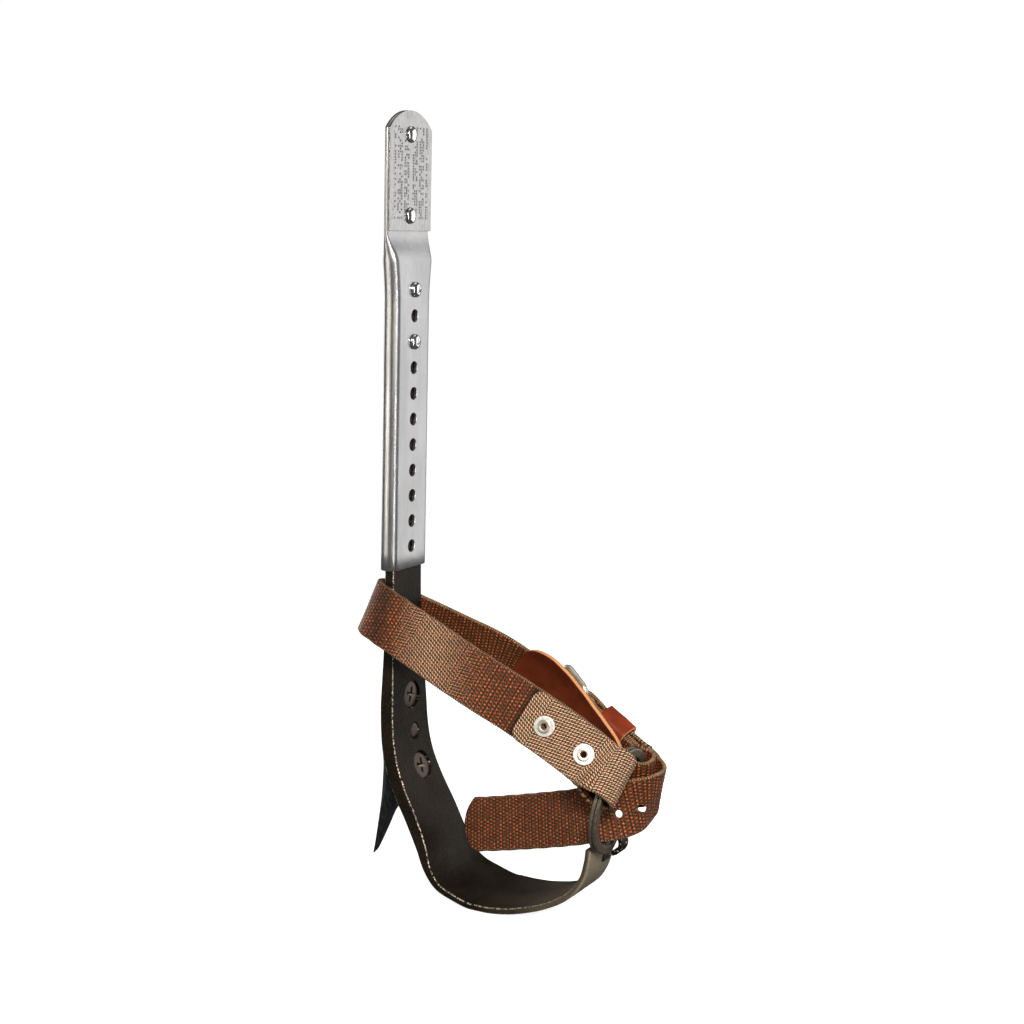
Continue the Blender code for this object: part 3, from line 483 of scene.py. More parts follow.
def leather(name, dark, light):
    """Smooth bridle leather with pores, a waxed sheen and a raw cut edge."""
    g = Graph(name)
    here = g.place()
    crease = g.noise(here, 380.0, 5.0, 0.65)
    colour = g.mix(g.ramp(g.noise(here, 35.0), 0.3, 0.7), dark, light)
    colour = g.mix(g.ramp(crease, 0.5, 0.75, 0.0, 0.4), colour, tuple(0.55 * c for c in dark))
    cut = g.ramp(abs(g.attribute("side")), 0.85, 0.55)
    fibre = g.noise(here, 1500.0, 4.0, 0.75)
    colour = g.mix(cut, colour, g.mix(fibre, (0.46, 0.175, 0.062), (0.86, 0.44, 0.21)))
    rough = g.mix(cut, (0.40, 0.40, 0.40), (0.9, 0.9, 0.9))
    height = g.cells(here, 1300.0) * 0.5 + crease * 0.6 + cut * fibre * 1.6
    return g.surface(Base_Color=colour, Roughness=rough, Normal=g.bump(height, 0.00010, 0.6),
                     Specular_IOR_Level=0.2)


def floor_material():
    g = Graph("pale_floor")
    colour = g.mix(g.noise(g.place(), 3.0), (0.90, 0.90, 0.90), (0.94, 0.94, 0.94))
    return g.surface(Base_Color=colour, Roughness=0.8, Emission_Color=(1.0, 1.0, 1.0),
                     Emission_Strength=0.86)


def white():
    return Graph("white_backdrop").surface(
        Base_Color=(0.0, 0.0, 0.0), Specular_IOR_Level=0.0, Emission_Color=(1.0, 1.0, 1.0),
        Emission_Strength=1.02)


EVEN = (12.0, 12.0, 12.0)        # the streaks' scales: broad and even here
BLACK = iron_paint()
SLATE = steel("gaff_steel", (0.018, 0.020, 0.023), (0.060, 0.066, 0.074), 0.42,
              (60.0, 60.0, 9.0), 0.75, 0.00006)
BRONZE = steel("dark_fastener", (0.040, 0.030, 0.024), (0.085, 0.066, 0.052), 0.38, metallic=0.8)
ALUMINIUM = aluminium()
PLATE = steel("bright_plate", (0.30, 0.30, 0.30), (0.42, 0.42, 0.42), 0.24,
              (60.0, 60.0, 12.0), 0.95)
CHROME = steel("bright_screw", (0.72, 0.72, 0.73), (0.86, 0.86, 0.87), 0.16, EVEN, 1.0, 0.00001)
WHITE_METAL = steel("white_washer", (0.80, 0.79, 0.76), (0.92, 0.91, 0.89), 0.34, metallic=0.55)
RING_STEEL = steel("ring_steel", (0.085, 0.070, 0.052), (0.21, 0.178, 0.136), 0.42, metallic=0.6)
NICKEL = steel("nickel", (0.56, 0.52, 0.43), (0.70, 0.66, 0.56), 0.30, EVEN, 0.75, 0.00001)
WEBBING = webbing()
LEATHER = leather("red_brown_leather", (0.055, 0.0090, 0.0028), (0.150, 0.0270, 0.0075))
KEEPER_LEATHER = leather("keeper_leather", (0.17, 0.022, 0.0055), (0.33, 0.052, 0.012))
FLOOR = floor_material()
WHITE = white()


# ------------------------------------------------------------ leg iron and gaff

SHANK_ROWS = (
    # x, z, thickness, half width
    (0.2, 308.0, 5.2, 13.2), (0.2, 234.0, 5.2, 13.2), (0.2, 160.0, 5.2, 13.2),
    (0.6, 126.0, 5.6, 13.9), (1.2, 108.0, 6.6, 15.2), (1.6, 92.0, 7.4, 16.4),
    (2.7, 76.0, 7.5, 17.0), (5.8, 62.0, 7.5, 17.6), (11.2, 49.5, 7.5, 18.2),
    (18.4, 36.8, 7.2, 18.8), (24.7, 24.6, 6.2, 19.8), (29.6, 14.6, 4.6, 21.6),
    (36.6, 7.6, 3.8, 23.4), (46.4, 3.9, 3.4, 24.2), (56.0, 1.6, 3.2, 24.3),
)
FOOT_ROWS = (
    (66.0, 1.6, 3.2, 24.0), (79.0, 3.2, 3.2, 22.2), (94.0, 7.6, 3.2, 18.6),
    (105.0, 14.2, 3.2, 15.0), (111.0, 22.5, 3.2, 13.6), (113.4, 31.0, 3.2, 13.5),
    (114.0, 37.8, 3.0, 13.2),
)
GAFF_ROWS = (
    # z, outer x, inner x, half width
    (107.0, -4.6, 3.0, 5.4), (105.0, -6.8, 3.0, 8.0), (100.0, -8.6, 3.0, 9.8),
    (88.0, -9.2, 3.0, 10.2), (72.0, -9.0, 4.0, 10.2), (60.0, -7.8, 8.0, 9.6),
    (50.0, -8.4, 7.0, 8.2), (41.0, -9.4, 1.8, 6.4), (33.0, -10.6, -3.8, 5.2),
    (24.0, -12.2, -7.4, 3.9), (16.0, -13.8, -10.6, 2.4), (11.0, -14.9, -12.8, 1.3),
    (8.2, -15.7, -15.0, 0.35),
)
GAFF_SCREWS = ((95.0, 2.0), (57.4, 4.0))        # height, and offset along the boot
DOWEL = (75.6, 3.2)
SCREW_RECESS = 0.9
THREAD_RADIUS, SOCKET_RADIUS, GAFF_BORE_DEPTH = 3.3, 4.2, 12.6
EYE_CENTRE = (118.4, 38.4)
EYE_RADIUS, EYE_THICKNESS = 5.5, 2.2
EYE_SIDE, EYE_WIDTH = 5.5, 7.8                   # its middle across the arm, and its width
EYE_ROOT = (114.5, 28.2)                         # where its strip leaves the arm
EYE_START, EYE_END = 205.0, -80.0                # degrees round its centre
HOLE_PITCH = 12.7
LOWEST_HOLE, HOLE_COUNT = 172.0, 11
SCREW_HOLES = (10, 8)                            # counted up the row from the lowest
SLEEVE_BORE = 2.8


def iron_rows(between):
    """Rows down the shank and along the stirrup, level underfoot between the two tables."""
    rows = through((*SHANK_ROWS, *FOOT_ROWS), between)
    flat = (len(SHANK_ROWS) - 1) * between
    rows[flat:flat + between + 1, 1] = SHANK_ROWS[-1][1]
    return rows


def iron_section(thick, half, radius, columns=14, steps=4):
    """(across, out) round the bar, with each point's nearness to an arris."""
    low = thick / 2
    radius = min(radius, low * 0.8)
    near = np.array([0.3, 0.9])
    face = np.concatenate([half - radius - near, np.linspace(half - 3.5, 3.5 - half, columns),
                           radius - half + near[::-1]])
    side_face = (low - radius) * np.array([0.75, 0.0, -0.75])
    points, edge = [], []
    for side in (1, -1):
        points += [(side * y, side * low) for y in face]
        edge += [0.0] * len(face)
        for out, start in ((1, 90), (-1, 180)):
            for k in range(steps + 1):
                a = math.radians(start + 90 * k / steps)
                points.append((side * (radius - half + math.cos(a) * radius),
                               side * (out * (low - radius) + math.sin(a) * radius)))
                edge.append(math.sin(math.pi * k / steps) ** 2)
            if out == 1:
                points += [(-side * half, side * y) for y in side_face]
                edge += [0.0] * 3
    return np.array(points), np.array(edge)


def iron_rings(rows, extra=0.0, radius=0.75, forged=0.05):
    """Rings of the bar with forging waves, and each point's nearness to an arris."""
    rings, edges = [], []
    along = unit(np.gradient(rows[:, :2], axis=0))
    for (x, z, thick, half), (ax, az) in zip(rows, along):
        section, edge = iron_section(thick + 2 * extra, half + extra, radius)
        wave = forged * (np.sin(section[:, 0] * 0.9 + z * 0.31) + np.sin(z * 0.83 - x * 0.47)
                         + np.sin(section[:, 0] * 0.41 - z * 0.17 + x * 0.6)) / 2
        out = section[:, 1] + np.sign(section[:, 1]) * wave * (1 - edge)
        ring = np.stack([x - az * out, section[:, 0] + wave * edge * 0.6, z + ax * out], axis=1)
        rings.append(ring)
        edges.append(edge)
    return np.array(rings), np.array(edges)


def face_point(z):
    """Point and normal of the boot-side face at height z on the shank."""
    rows = iron_rows(3)
    for a, b in zip(rows, rows[1:]):
        if b[1] <= z <= a[1]:
            mid = a + (b - a) * (a[1] - z) / (a[1] - b[1])
            along = Vector((b[0] - a[0], 0, b[1] - a[1])).normalized()
            out = Vector((-along.z, 0, along.x))
            return Vector((mid[0], 0, mid[1])) + out * mid[2] / 2, out
    raise ValueError("height is off the shank")


def screw_spots():
    """Each gaff screw's place on the face, and the face's direction there."""
    for z, y in GAFF_SCREWS:
        spot, out = face_point(z)
        yield spot + Vector((0, y, 0)), out


def dowel_spot():
    return face_point(DOWEL[0])[0] + Vector((0, DOWEL[1], 0))


def hole_spot(count):
    """The middle of a height hole, counted up the row from the lowest."""
    return 0, 0, LOWEST_HOLE + count * HOLE_PITCH


def band(rows, thickness, radius=0.5, columns=6, steps=3):
    """Rings of a plain band with rounded edges: rows are (point, up, width)."""
    rows = np.asarray(rows, float)
    rings = []
    for row, u, o in zip(rows, *crosswise(rows)):
        points, _ = flat_section(row[6] / 2, thickness / 2, radius, columns, steps)
        rings.append(row[:3] + points[:, :1] * u + points[:, 1:] * o)
    return np.array(rings)


def flat_section(half, low, radius, columns, steps):
    """(across, out) round a band, from the +across edge along the outer face; and the side."""
    radius = min(radius, low)
    points, side = [], []
    for sign in (1, -1):
        for y in np.linspace(half - radius, radius - half, columns + 1):
            points.append((sign * y, sign * low))
            side.append(float(sign))
        for k in range(1, 2 * steps):
            a = math.pi / 2 + math.pi * k / (2 * steps)
            points.append((sign * (radius - half + math.cos(a) * radius),
                           sign * math.sin(a) * low))
            side.append(sign * math.sin(a) * 0.9)
    return np.array(points), np.array(side)


def make_leg_iron():
    rows = iron_rows(12)
    rings, edges = iron_rings(rows)
    x, z = rings[:, :, 0], rings[:, :, 2]
    # masks for the painted sheen on the tread and the painted reflection on the arm's outer face
    tread = rise(x, 40.0, 108.0) ** 1.5 * rise(z, 70.0, 40.0)
    painted_arm_reflection = smoothstep((x - rows[:, :1]) / 1.3) * rise(x, 103.0, 112.0)
    iron = lofted("leg_iron_forged", rings, BLACK, sharp=50.0,
                  attributes=(("edge", edges), ("tread", tread), ("painted_arm_reflection", painted_arm_reflection)))
    steps = 64
    strip = [(EYE_ROOT[0], EYE_SIDE, EYE_ROOT[1], 0, 1, 0, EYE_WIDTH)]
    for k in range(steps + 1):
        a = math.radians(EYE_START + (EYE_END - EYE_START) * k / steps)
        strip.append((EYE_CENTRE[0] + EYE_RADIUS * math.cos(a), EYE_SIDE,
                      EYE_CENTRE[1] + EYE_RADIUS * math.sin(a), 0, 1, 0, EYE_WIDTH))
    eye = lofted("eye", band(strip, EYE_THICKNESS, 0.5), BLACK, sharp=50.0)
    apply_cut(iron, [eye], operation="UNION")
    seat = ((7.4, 3.0), (7.4, 0.25), (7.1, -0.05), (7.1, -2.5), (3.3, -5.2), (3.3, -12.0))
    cutters = [turned("seat", seat, spot, out, BLACK, 56) for spot, out in screw_spots()]
    hole = ((4.5, 4.0), (4.5, 0.2), (4.2, -0.1), (4.2, -14.0))
    cutters.append(turned("dowel_hole", hole, dowel_spot(), FORWARD, BLACK, 40))
    cutters += [drill(SLEEVE_BORE, 8.0, -8.0, hole_spot(count), FORWARD, BLACK)
                for count in SCREW_HOLES]
    return apply_cut(iron, cutters, 50)


def make_gaff():
    rings = []
    for z, outer, inner, half in through(GAFF_ROWS, 9):
        ridge, shoulder = half * 0.42, outer + (inner - outer) * 0.34
        corners = [Vector(p) for p in ((outer, -ridge), (outer, ridge), (shoulder, half),
                                       (inner, half * 0.8), (inner, -half * 0.8),
                                       (shoulder, -half))]
        rings.append([(q.x, q.y, z) for i, p in enumerate(corners)
                      for q in eased(corners[i - 1], p, corners[(i + 1) % 6], 0.8, 0.3)])
    gaff = lofted("gaff_forged", rings, SLATE, sharp=40.0)
    clear, _ = iron_rings(iron_rows(6), GAP, 0.5, 0.0)
    cutters = [lofted("clearance", clear, SLATE)]
    cutters += [drill(THREAD_RADIUS, 0.0, -GAFF_BORE_DEPTH, spot, out, SLATE, 32)
                for spot, out in screw_spots()]
    cutters.append(drill(SOCKET_RADIUS, 0.0, -GAFF_BORE_DEPTH, dowel_spot(), FORWARD, SLATE, 32))
    return apply_cut(gaff, cutters, 30)


def cross_recess(name, origin, axis, width, reach, depth, material):
    """A tapered cross-shaped cutter sunk into a screw's head."""
    axis, across, other = square_to(axis)
    turn = math.radians(24)
    a = across * math.cos(turn) + other * math.sin(turn)
    b = axis.cross(a)
    outline = []
    for d, s in ((a, b), (b, -a), (-a, -b), (-b, a)):
        outline += [(d, s, reach, -width), (d, s, reach, width), (d, s, width, width)]
    rings = []
    for h, scale in ((1.5, 1.12), (0.0, 1.0), (-depth, 0.42)):
        ring = []
        for d, s, r, w in outline:
            ring.append(Vector(origin) + d * r * scale + s * w * max(scale, 0.6) + axis * h)
        rings.append([tuple(p) for p in ring])
    return lofted(name, rings, material)


def make_gaff_screws():
    found = []
    for (spot, out), name in zip(screw_spots(), ("upper", "lower")):
        top = -SCREW_RECESS
        head = rounded(((5.9, top + 0.05), (6.8, top - 0.15), (6.8, top - 1.3), (3.0, top - 4.1),
                        (3.0, -12.0)), 0.3)
        head = [(0.0, top + 0.12), (3.0, top + 0.1), *head]
        screw = turned(f"gaff_screw_{name}_head", head, spot, out, BRONZE, 56)
        recess = cross_recess("cross", spot + out * top, out, 0.85, 3.9, 2.8, BRONZE)
        apply_cut(screw, [recess], 30)
        found.append((screw, f"gaff_screw_{name}"))
    pin = rounded(((0.0, -0.3), (3.2, -0.3), (3.9, -0.8), (3.9, -12.0)), 0.35)
    dowel = turned("gaff_dowel_pin", pin, dowel_spot(), FORWARD, BRONZE, 40)
    found.append((dowel, "gaff_dowel"))
    return found


# ------------------------------------------------------------ height sleeve

SLEEVE_BOTTOM = 161.0
SLEEVE_DEPTH, SLEEVE_WIDTH, SLEEVE_WALL, SLEEVE_CORNER = 9.5, 32.0, 1.5, 4.0
SWAGE = (312.0, 327.0)                           # heights where it flattens
WIDEN = (292.0, 330.0)                           # heights where it widens to the plate
BORE_END = 318.0
FLAT_DEPTH, FLAT_SHIFT = 2.2, -0.9
TAG_WIDTH, TAG_THICKNESS, TAG_BOTTOM = 38.4, 0.85, 327.2
TOP, TOP_ARCH = 384.6, 9.0
TAG_RIVETS = (334.5, 373.2)
TAG_RIVET_BORE = 2.3
BAND_PITCH, DOT_PITCH = 1.5, 1.3                 # of the plate's stipple


def top_half_width(z, half):
    """Half the width at height z, under the arched top."""
    radius = (half ** 2 + TOP_ARCH ** 2) / (2 * TOP_ARCH)
    if z <= TOP - TOP_ARCH:
        return half
    return math.sqrt(max(radius ** 2 - (z - (TOP - radius)) ** 2, 1.0))


def sleeve_ring(z, inset):
    """The tube's outline at height z: a round-cornered box that flattens upwards."""
    flat, wide = rise(z, *SWAGE), rise(z, *WIDEN)
    half_x = SLEEVE_DEPTH / 2 * (1 - flat) + FLAT_DEPTH / 2 * flat - inset
    half_y = SLEEVE_WIDTH / 2 * (1 - wide) + TAG_WIDTH / 2 * wide
    half_y = top_half_width(z, half_y) - inset
    radius = min(SLEEVE_CORNER - inset, half_x * 0.98, half_y * 0.98)
    box = rounded_box((-half_x, -half_y), (half_x, half_y), radius, 7)
    return [(FLAT_SHIFT * flat + x, y, z) for x, y in box]


def arch_levels(count):
    """Levels above the arch's foot, closer together towards its top."""
    return [TOP - TOP_ARCH * (1 - math.sin(math.radians(a))) for a in np.linspace(0, 86, count)[1:]]


def make_sleeve():
    levels = [SLEEVE_BOTTOM, SLEEVE_BOTTOM + 0.35, *np.linspace(170, WIDEN[0] - 2, 13),
              *np.linspace(WIDEN[0], TOP - TOP_ARCH, 60), *arch_levels(26)]
    rings = [sleeve_ring(z, 0.25 if z == SLEEVE_BOTTOM else 0.0) for z in levels]
    sleeve = lofted("sleeve_tube", rings, ALUMINIUM, sharp=50.0)
    inside = [SLEEVE_BOTTOM - 2, *np.linspace(WIDEN[0], BORE_END, 14)]
    bore = [sleeve_ring(z, SLEEVE_WALL) for z in inside]
    apply_cut(sleeve, [lofted("bore", bore, ALUMINIUM)])
    profile = ((3.5, 8.0), (3.5, 5.0), (3.0, 4.5), (3.0, -4.5), (3.5, -5.0), (3.5, -8.0))
    cutters = [turned("hole", profile, hole_spot(count), FORWARD, ALUMINIUM, 40)
               for count in range(HOLE_COUNT)]
    return apply_cut(sleeve, [*cutters, *tag_rivet_bores(ALUMINIUM)], 42)


def tag_rivet_bores(material):
    return [drill(TAG_RIVET_BORE, 8.0, -8.0, (0, 0, z), FORWARD, material) for z in TAG_RIVETS]


def stamped(y, z):
    """Height (0 to 1) of the plate's generic stipple: random dots in upright bands of three."""
    band_index = np.floor(y / BAND_PITCH)
    level = np.floor(z / DOT_PITCH)
    code = np.modf(np.abs(np.sin(band_index * 12.9898 + level * 78.233)) * 43758.5453)[0]
    a = (y / BAND_PITCH - band_index - 0.5) * BAND_PITCH
    b = (z / DOT_PITCH - level - 0.5) * DOT_PITCH
    dots = np.exp(-((a / 0.52) ** 2 + (b / 0.44) ** 2) ** 1.5) * (code > 0.38)
    dots = dots * (np.abs(band_index + 0.5) % 4 > 1.0)
    inside = smoothstep((16.0 - np.abs(y)) / 0.6) * smoothstep((z - 332.0) / 0.6)
    inside *= smoothstep((377.0 - z) / 0.6)
    for spot in TAG_RIVETS:
        inside *= smoothstep((np.hypot(y, z - spot) - 5.0) / 0.8)
    return dots * inside


def make_tag():
    low = FLAT_SHIFT + FLAT_DEPTH / 2 + GAP
    high = low + TAG_THICKNESS
    levels = [TAG_BOTTOM, TAG_BOTTOM + 0.12, *np.arange(TAG_BOTTOM + 0.4, TOP - TOP_ARCH, 0.33),
              *arch_levels(40)]
    columns = np.linspace(-1, 1, 116)
    rings = []
    for i, z in enumerate(levels):
        w = top_half_width(z, TAG_WIDTH / 2)
        y = columns * (w - 0.2)
        slim = 0.12 if i in (0, len(levels) - 1) else 0.0
        front = high - slim - 0.03 + 0.42 * stamped(y, z)
        ring = [(low, -w, z), (high - 0.22, -w, z), *zip(front, y, [z] * len(y)),
                (high - 0.22, w, z), (low, w, z)]
        rings.append(ring)
    tag = lofted("tag_plate_stamped", rings, PLATE, sharp=50.0)
    found = [(apply_cut(tag, tag_rivet_bores(PLATE), 50), "tag_plate")]
    back = FLAT_SHIFT - FLAT_DEPTH / 2 - GAP
    for name, z in zip(("lower", "upper"), TAG_RIVETS):
        shape = [*dome_profile(4.0, 1.9, high + GAP, 1), (3.8, high + GAP * 0.5),
                 (2.0, high + GAP * 0.5), (2.0, back),
                 *rounded(((3.2, back), (3.2, back - 0.9), (0.4, back - 0.9)), 0.3)]
        rivet = turned(f"tag_rivet_{name}_dome", shape, (0, 0, z), FORWARD, CHROME, 48)
        found.append((rivet, f"tag_rivet_{name}"))
    return found


def make_sleeve_screws():
    face = SLEEVE_DEPTH / 2 + GAP
    found = []
    for count, name in zip(SCREW_HOLES, ("upper", "lower")):
        spot = hole_spot(count)
        shape = [*dome_profile(3.8, 1.95, face + 0.35, 2), (3.8, face), (2.5, face), (2.5, -2.2)]
        screw = turned(f"sleeve_screw_{name}_head", shape, spot, FORWARD, CHROME, 48)
        hexagon = turned("hex", ((1.75, face + 4.0), (1.75, face + 1.0), (0.2, face + 0.5)),
                         spot, FORWARD, CHROME, 6)
        apply_cut(screw, [hexagon], 30)
        found.append((screw, f"sleeve_screw_{name}"))
    return found


# ------------------------------------------------------------ split ring

RING_RADIUS, RING_WIRE_WIDTH, RING_WIRE_THICKNESS, RING_PITCH = 24.4, 4.6, 1.9, 2.15
RING_LEAN = math.radians(10.3)
RING_BOTTOM_Z = 36.85
RING_START = math.radians(167.0)
RING_TURNS = (0.05, 1.9)                         # in turns: where the wire starts, its length
RING_STEP = (0.955, 1.045)                       # turns between which it steps over


def make_ring():
    """Nearly two turns of flat wire, which step over by one pitch between the turns."""
    up = np.array((math.sin(RING_LEAN), 0, math.cos(RING_LEAN)))
    normal = np.array((math.cos(RING_LEAN), 0, -math.sin(RING_LEAN)))
    centre = np.array((EYE_CENTRE[0], 0, RING_BOTTOM_Z)) + up * RING_RADIUS
    steps = 440
    section, _ = flat_section(RING_WIRE_WIDTH / 2, RING_WIRE_THICKNESS / 2, 0.75, 8, 4)
    rings = []
    for k in range(-1, steps + 2):
        turn = RING_TURNS[0] + RING_TURNS[1] * min(max(k, 0), steps) / steps
        slim = 0.8 if k in (-1, steps + 1) else 1.0
        end = 0.0012 * (k == steps + 1) - 0.0012 * (k == -1)
        a = RING_START + 2 * math.pi * (turn + end)
        shift = RING_PITCH * (rise(turn, *RING_STEP) - 0.5)
        out = up * math.cos(a) + np.array((0, 1, 0)) * math.sin(a)
        c = centre + out * RING_RADIUS + normal * shift
        rings.append(c + section[:, :1] * slim * out + section[:, 1:] * slim * normal)
    return lofted("split_ring_wire", rings, RING_STEEL, sharp=60.0)


# ------------------------------------------------------------ webbing straps

STRAP_WIDTH, STRAP_THICKNESS = 27.0, 2.2
BUCKLE_ORIGIN = np.array((84.4, 27.1, 90.8))
BUCKLE_ALONG = unit((0.849, -0.046, -0.527))
BUCKLE_UP = np.array((0.50, -0.25, 0.83))
BUCKLE_UP = unit(BUCKLE_UP - BUCKLE_UP @ BUCKLE_ALONG * BUCKLE_ALONG)
BUCKLE_OUT = unit(np.cross(BUCKLE_UP, BUCKLE_ALONG))
FRONT_RUN = (
    # x, y, z, up x, up y, up z, half spread of the layers
    (125.3, -15.2, 76.5, 0.123, 0.724, 0.679, 6.9),
    (123.2, -16.7, 78.5, 0.123, 0.724, 0.679, 6.7),
    (120.8, -17.6, 80.9, 0.19, 0.64, 0.74, 4.5),
    (117.8, -18.1, 83.5, 0.30, 0.54, 0.79, 1.6),
    (113.6, -18.9, 86.6, 0.38, 0.42, 0.82, 1.36),
    (105.3, -20.4, 92.0, 0.43, 0.36, 0.83, 1.34),
    (94.0, -22.3, 98.6, 0.47, 0.32, 0.83, 1.32),
    (78.0, -25.0, 107.2, 0.48, 0.30, 0.83, 1.30),
)
WRAP_RUN = (
    # x, y, z, up x, up y, up z
    (66.0, -26.6, 113.2, 0.45, 0.32, 0.84), (48.0, -27.6, 121.6, 0.43, 0.35, 0.84),
    (28.0, -27.0, 130.6, 0.40, 0.37, 0.84), (10.0, -24.6, 137.6, 0.36, 0.36, 0.86),
    (-3.0, -20.8, 141.8, 0.32, 0.34, 0.89), (-10.4, -13.6, 142.6, 0.28, 0.26, 0.93),
    (-13.6, -3.0, 140.6, 0.28, 0.06, 0.96), (-12.6, 8.4, 137.0, 0.30, -0.14, 0.95),
    (-7.0, 17.0, 133.2, 0.36, -0.24, 0.90), (4.0, 21.8, 128.8, 0.42, -0.26, 0.87),
    (22.0, 24.6, 122.4, 0.46, -0.25, 0.85), (42.0, 26.0, 115.8, 0.48, -0.25, 0.84),
)
# along and out from the buckle's heel bar
BUCKLE_RUN = ((-31.0, 0.0), (-22.0, 0.0), (-17.0, 0.25), (-10.0, 2.6), (-4.0, 5.0), (1.0, 6.3),
              (7.0, 5.8), (13.0, 4.9), (24.0, 4.7), (35.0, 4.7))
TAIL_RUN = (
    (119.0, 31.4, 70.0, 0.37, -0.27, 0.88), (126.4, 31.5, 65.4, 0.25, -0.29, 0.92),
    (132.6, 26.8, 62.6, 0.21, -0.22, 0.95), (135.4, 17.8, 61.2, 0.22, -0.07, 0.97),
    (133.8, 8.4, 59.8, 0.16, 0.08, 0.98), (128.2, 1.2, 57.8, 0.10, 0.18, 0.97),
    (120.0, -2.6, 55.2, 0.07, 0.23, 0.97), (110.0, -3.0, 52.2, 0.06, 0.25, 0.97),
    (97.0, -1.4, 47.8, 0.05, 0.25, 0.97), (78.0, 1.6, 42.0, 0.05, 0.25, 0.97),
    (58.0, 4.8, 36.2, 0.05, 0.25, 0.97), (42.0, 7.5, 31.9, 0.05, 0.25, 0.97),
    (37.0, 8.3, 30.6, 0.05, 0.25, 0.97), (34.2, 8.8, 29.8, 0.05, 0.25, 0.97),
)
RING_SIDE_RUN = (
    (115.6, 25.3, 71.2, 0.44, -0.28, 0.85, 1.36), (118.7, 23.4, 69.6, 0.27, -0.31, 0.91, 4.2),
    (121.3, 21.8, 68.2, 0.17, -0.31, 0.94, 6.5), (124.2, 21.0, 67.4, 0.17, -0.31, 0.94, 6.4),
)
RIVET_X = (94.6, 113.8)
PUNCH_SPOTS = ((133.4, 58.4), (124.2, 54.8), (112.4, 51.6))
BUCKLE_RIVETS = (10.0, 31.4)
BAR_RADIUS = 1.8
FLAP_LENGTH = 66.0
STRAP_RIVET_BORE, PUNCH_RADIUS, BUCKLE_RIVET_BORE = 2.7, 1.9, 1.9
WASHER_BORE, WASHER_RADIUS, WASHER_THICKNESS = 2.6, 5.0, 0.7
PICK_HEIGHT, SEAM_DEPTH, LOOP_HEIGHT = 0.26, 0.08, 0.32


def on_buckle(along, up, out):
    return BUCKLE_ORIGIN + BUCKLE_ALONG * along + BUCKLE_UP * up + BUCKLE_OUT * out


def layers(rows, sign):
    """The centre rows of the two layers either side of a run: outer first."""
    rows = np.asarray(rows, float)
    steps = np.array([rows[min(i + 1, len(rows) - 1), :3] - rows[max(i - 1, 0), :3]
                      for i in range(len(rows))])
    along = unit(steps) * sign
    up = unit(rows[:, 3:6] - (rows[:, 3:6] * along).sum(1, keepdims=True) * along)
    out = np.cross(along, up) if sign < 0 else np.cross(up, along)
    spread = rows[:, 6:7]
    return (np.hstack([rows[:, :3] + out * spread, up]),
            np.hstack([rows[:, :3] - out * spread, up]))


def fold_rows(first, last, along, steps=6):
    """Rows of the half-round fold that joins the ends of two layers."""
    a, b = first[:3], last[:3]
    middle, half = (a + b) / 2, (a - b) / 2
    reach = np.linalg.norm(half)
    angles = math.pi * np.arange(1, steps) / steps
    return np.array([[*(middle + half * math.cos(t) + along * reach * math.sin(t)), *first[3:6]]
                     for t in angles])


def front_layers():
    return layers(through(FRONT_RUN, 3), -1)


def ankle_strap_rows():
    outer, inner = front_layers()
    along = unit(np.subtract(FRONT_RUN[0][:3], FRONT_RUN[1][:3]))
    fold = np.vstack([outer[:1], fold_rows(outer[0], inner[0], along)])
    buckle = [(*on_buckle(a, 0, h), *BUCKLE_UP) for a, h in BUCKLE_RUN]
    run = through([inner[-1], *WRAP_RUN, *buckle, *TAIL_RUN], 4)
    return np.vstack([outer[1:-1][::-1], fold, inner[:-1], run])


def buckle_strap_rows():
    loop = BAR_RADIUS + 0.5 + STRAP_THICKNESS / 2
    rows = [(18.0, -1.35), (9.0, -1.35), (6.0, -2.1), (3.0, -loop)]
    for k in range(7):
        a = math.radians(-90 - 30 * k)
        rows.append((loop * math.cos(a), loop * math.sin(a)))
    rows += [(3.0, loop), (6.0, 2.1), (9.0, 1.35), (20.0, 1.35)]
    heel = np.array([(*on_buckle(a, 0, h), *BUCKLE_UP) for a, h in rows])
    run = through(((*on_buckle(27.0, 0, 0), *BUCKLE_UP, 1.35), *RING_SIDE_RUN), 3)
    outer, inner = layers(run, 1)
    along = unit(np.subtract(RING_SIDE_RUN[-1][:3], RING_SIDE_RUN[-2][:3]))
    fold = fold_rows(outer[-1], inner[-1], along)
    back = [(*on_buckle(22.0, 0, -1.35), *BUCKLE_UP)]
    return np.vstack([heel, outer, fold, inner[::-1], back])


def bell(values, middle, spread):
    return np.exp(-((values - middle) / spread) ** 2)


def flap_spot(x):
    """The flap's and the band's middles under a rivet, with the outward direction."""
    outer, inner = front_layers()
    for i in range(len(outer) - 1):
        if outer[i + 1, 0] <= x <= outer[i, 0]:
            t = (outer[i, 0] - x) / (outer[i, 0] - outer[i + 1, 0])
            a = outer[i, :3] * (1 - t) + outer[i + 1, :3] * t
            b = inner[i, :3] * (1 - t) + inner[i + 1, :3] * t
            return a, b, unit(a - b)
    raise ValueError("rivet is off the flap")


def pick_relief(s, v):
    """Height (0 to 1) of the weave's picks at a place on the webbing, in mm."""
    column = np.floor(s / PITCH_ALONG)
    x = s / PITCH_ALONG - column - 0.5
    row = v / PITCH_ACROSS + 0.5 * (np.abs(column) % 2)
    y = row - np.floor(row) - 0.5
    return np.exp(-((x * PITCH_ALONG / 0.75) ** 2 + (y * PITCH_ACROSS / 0.68) ** 2))


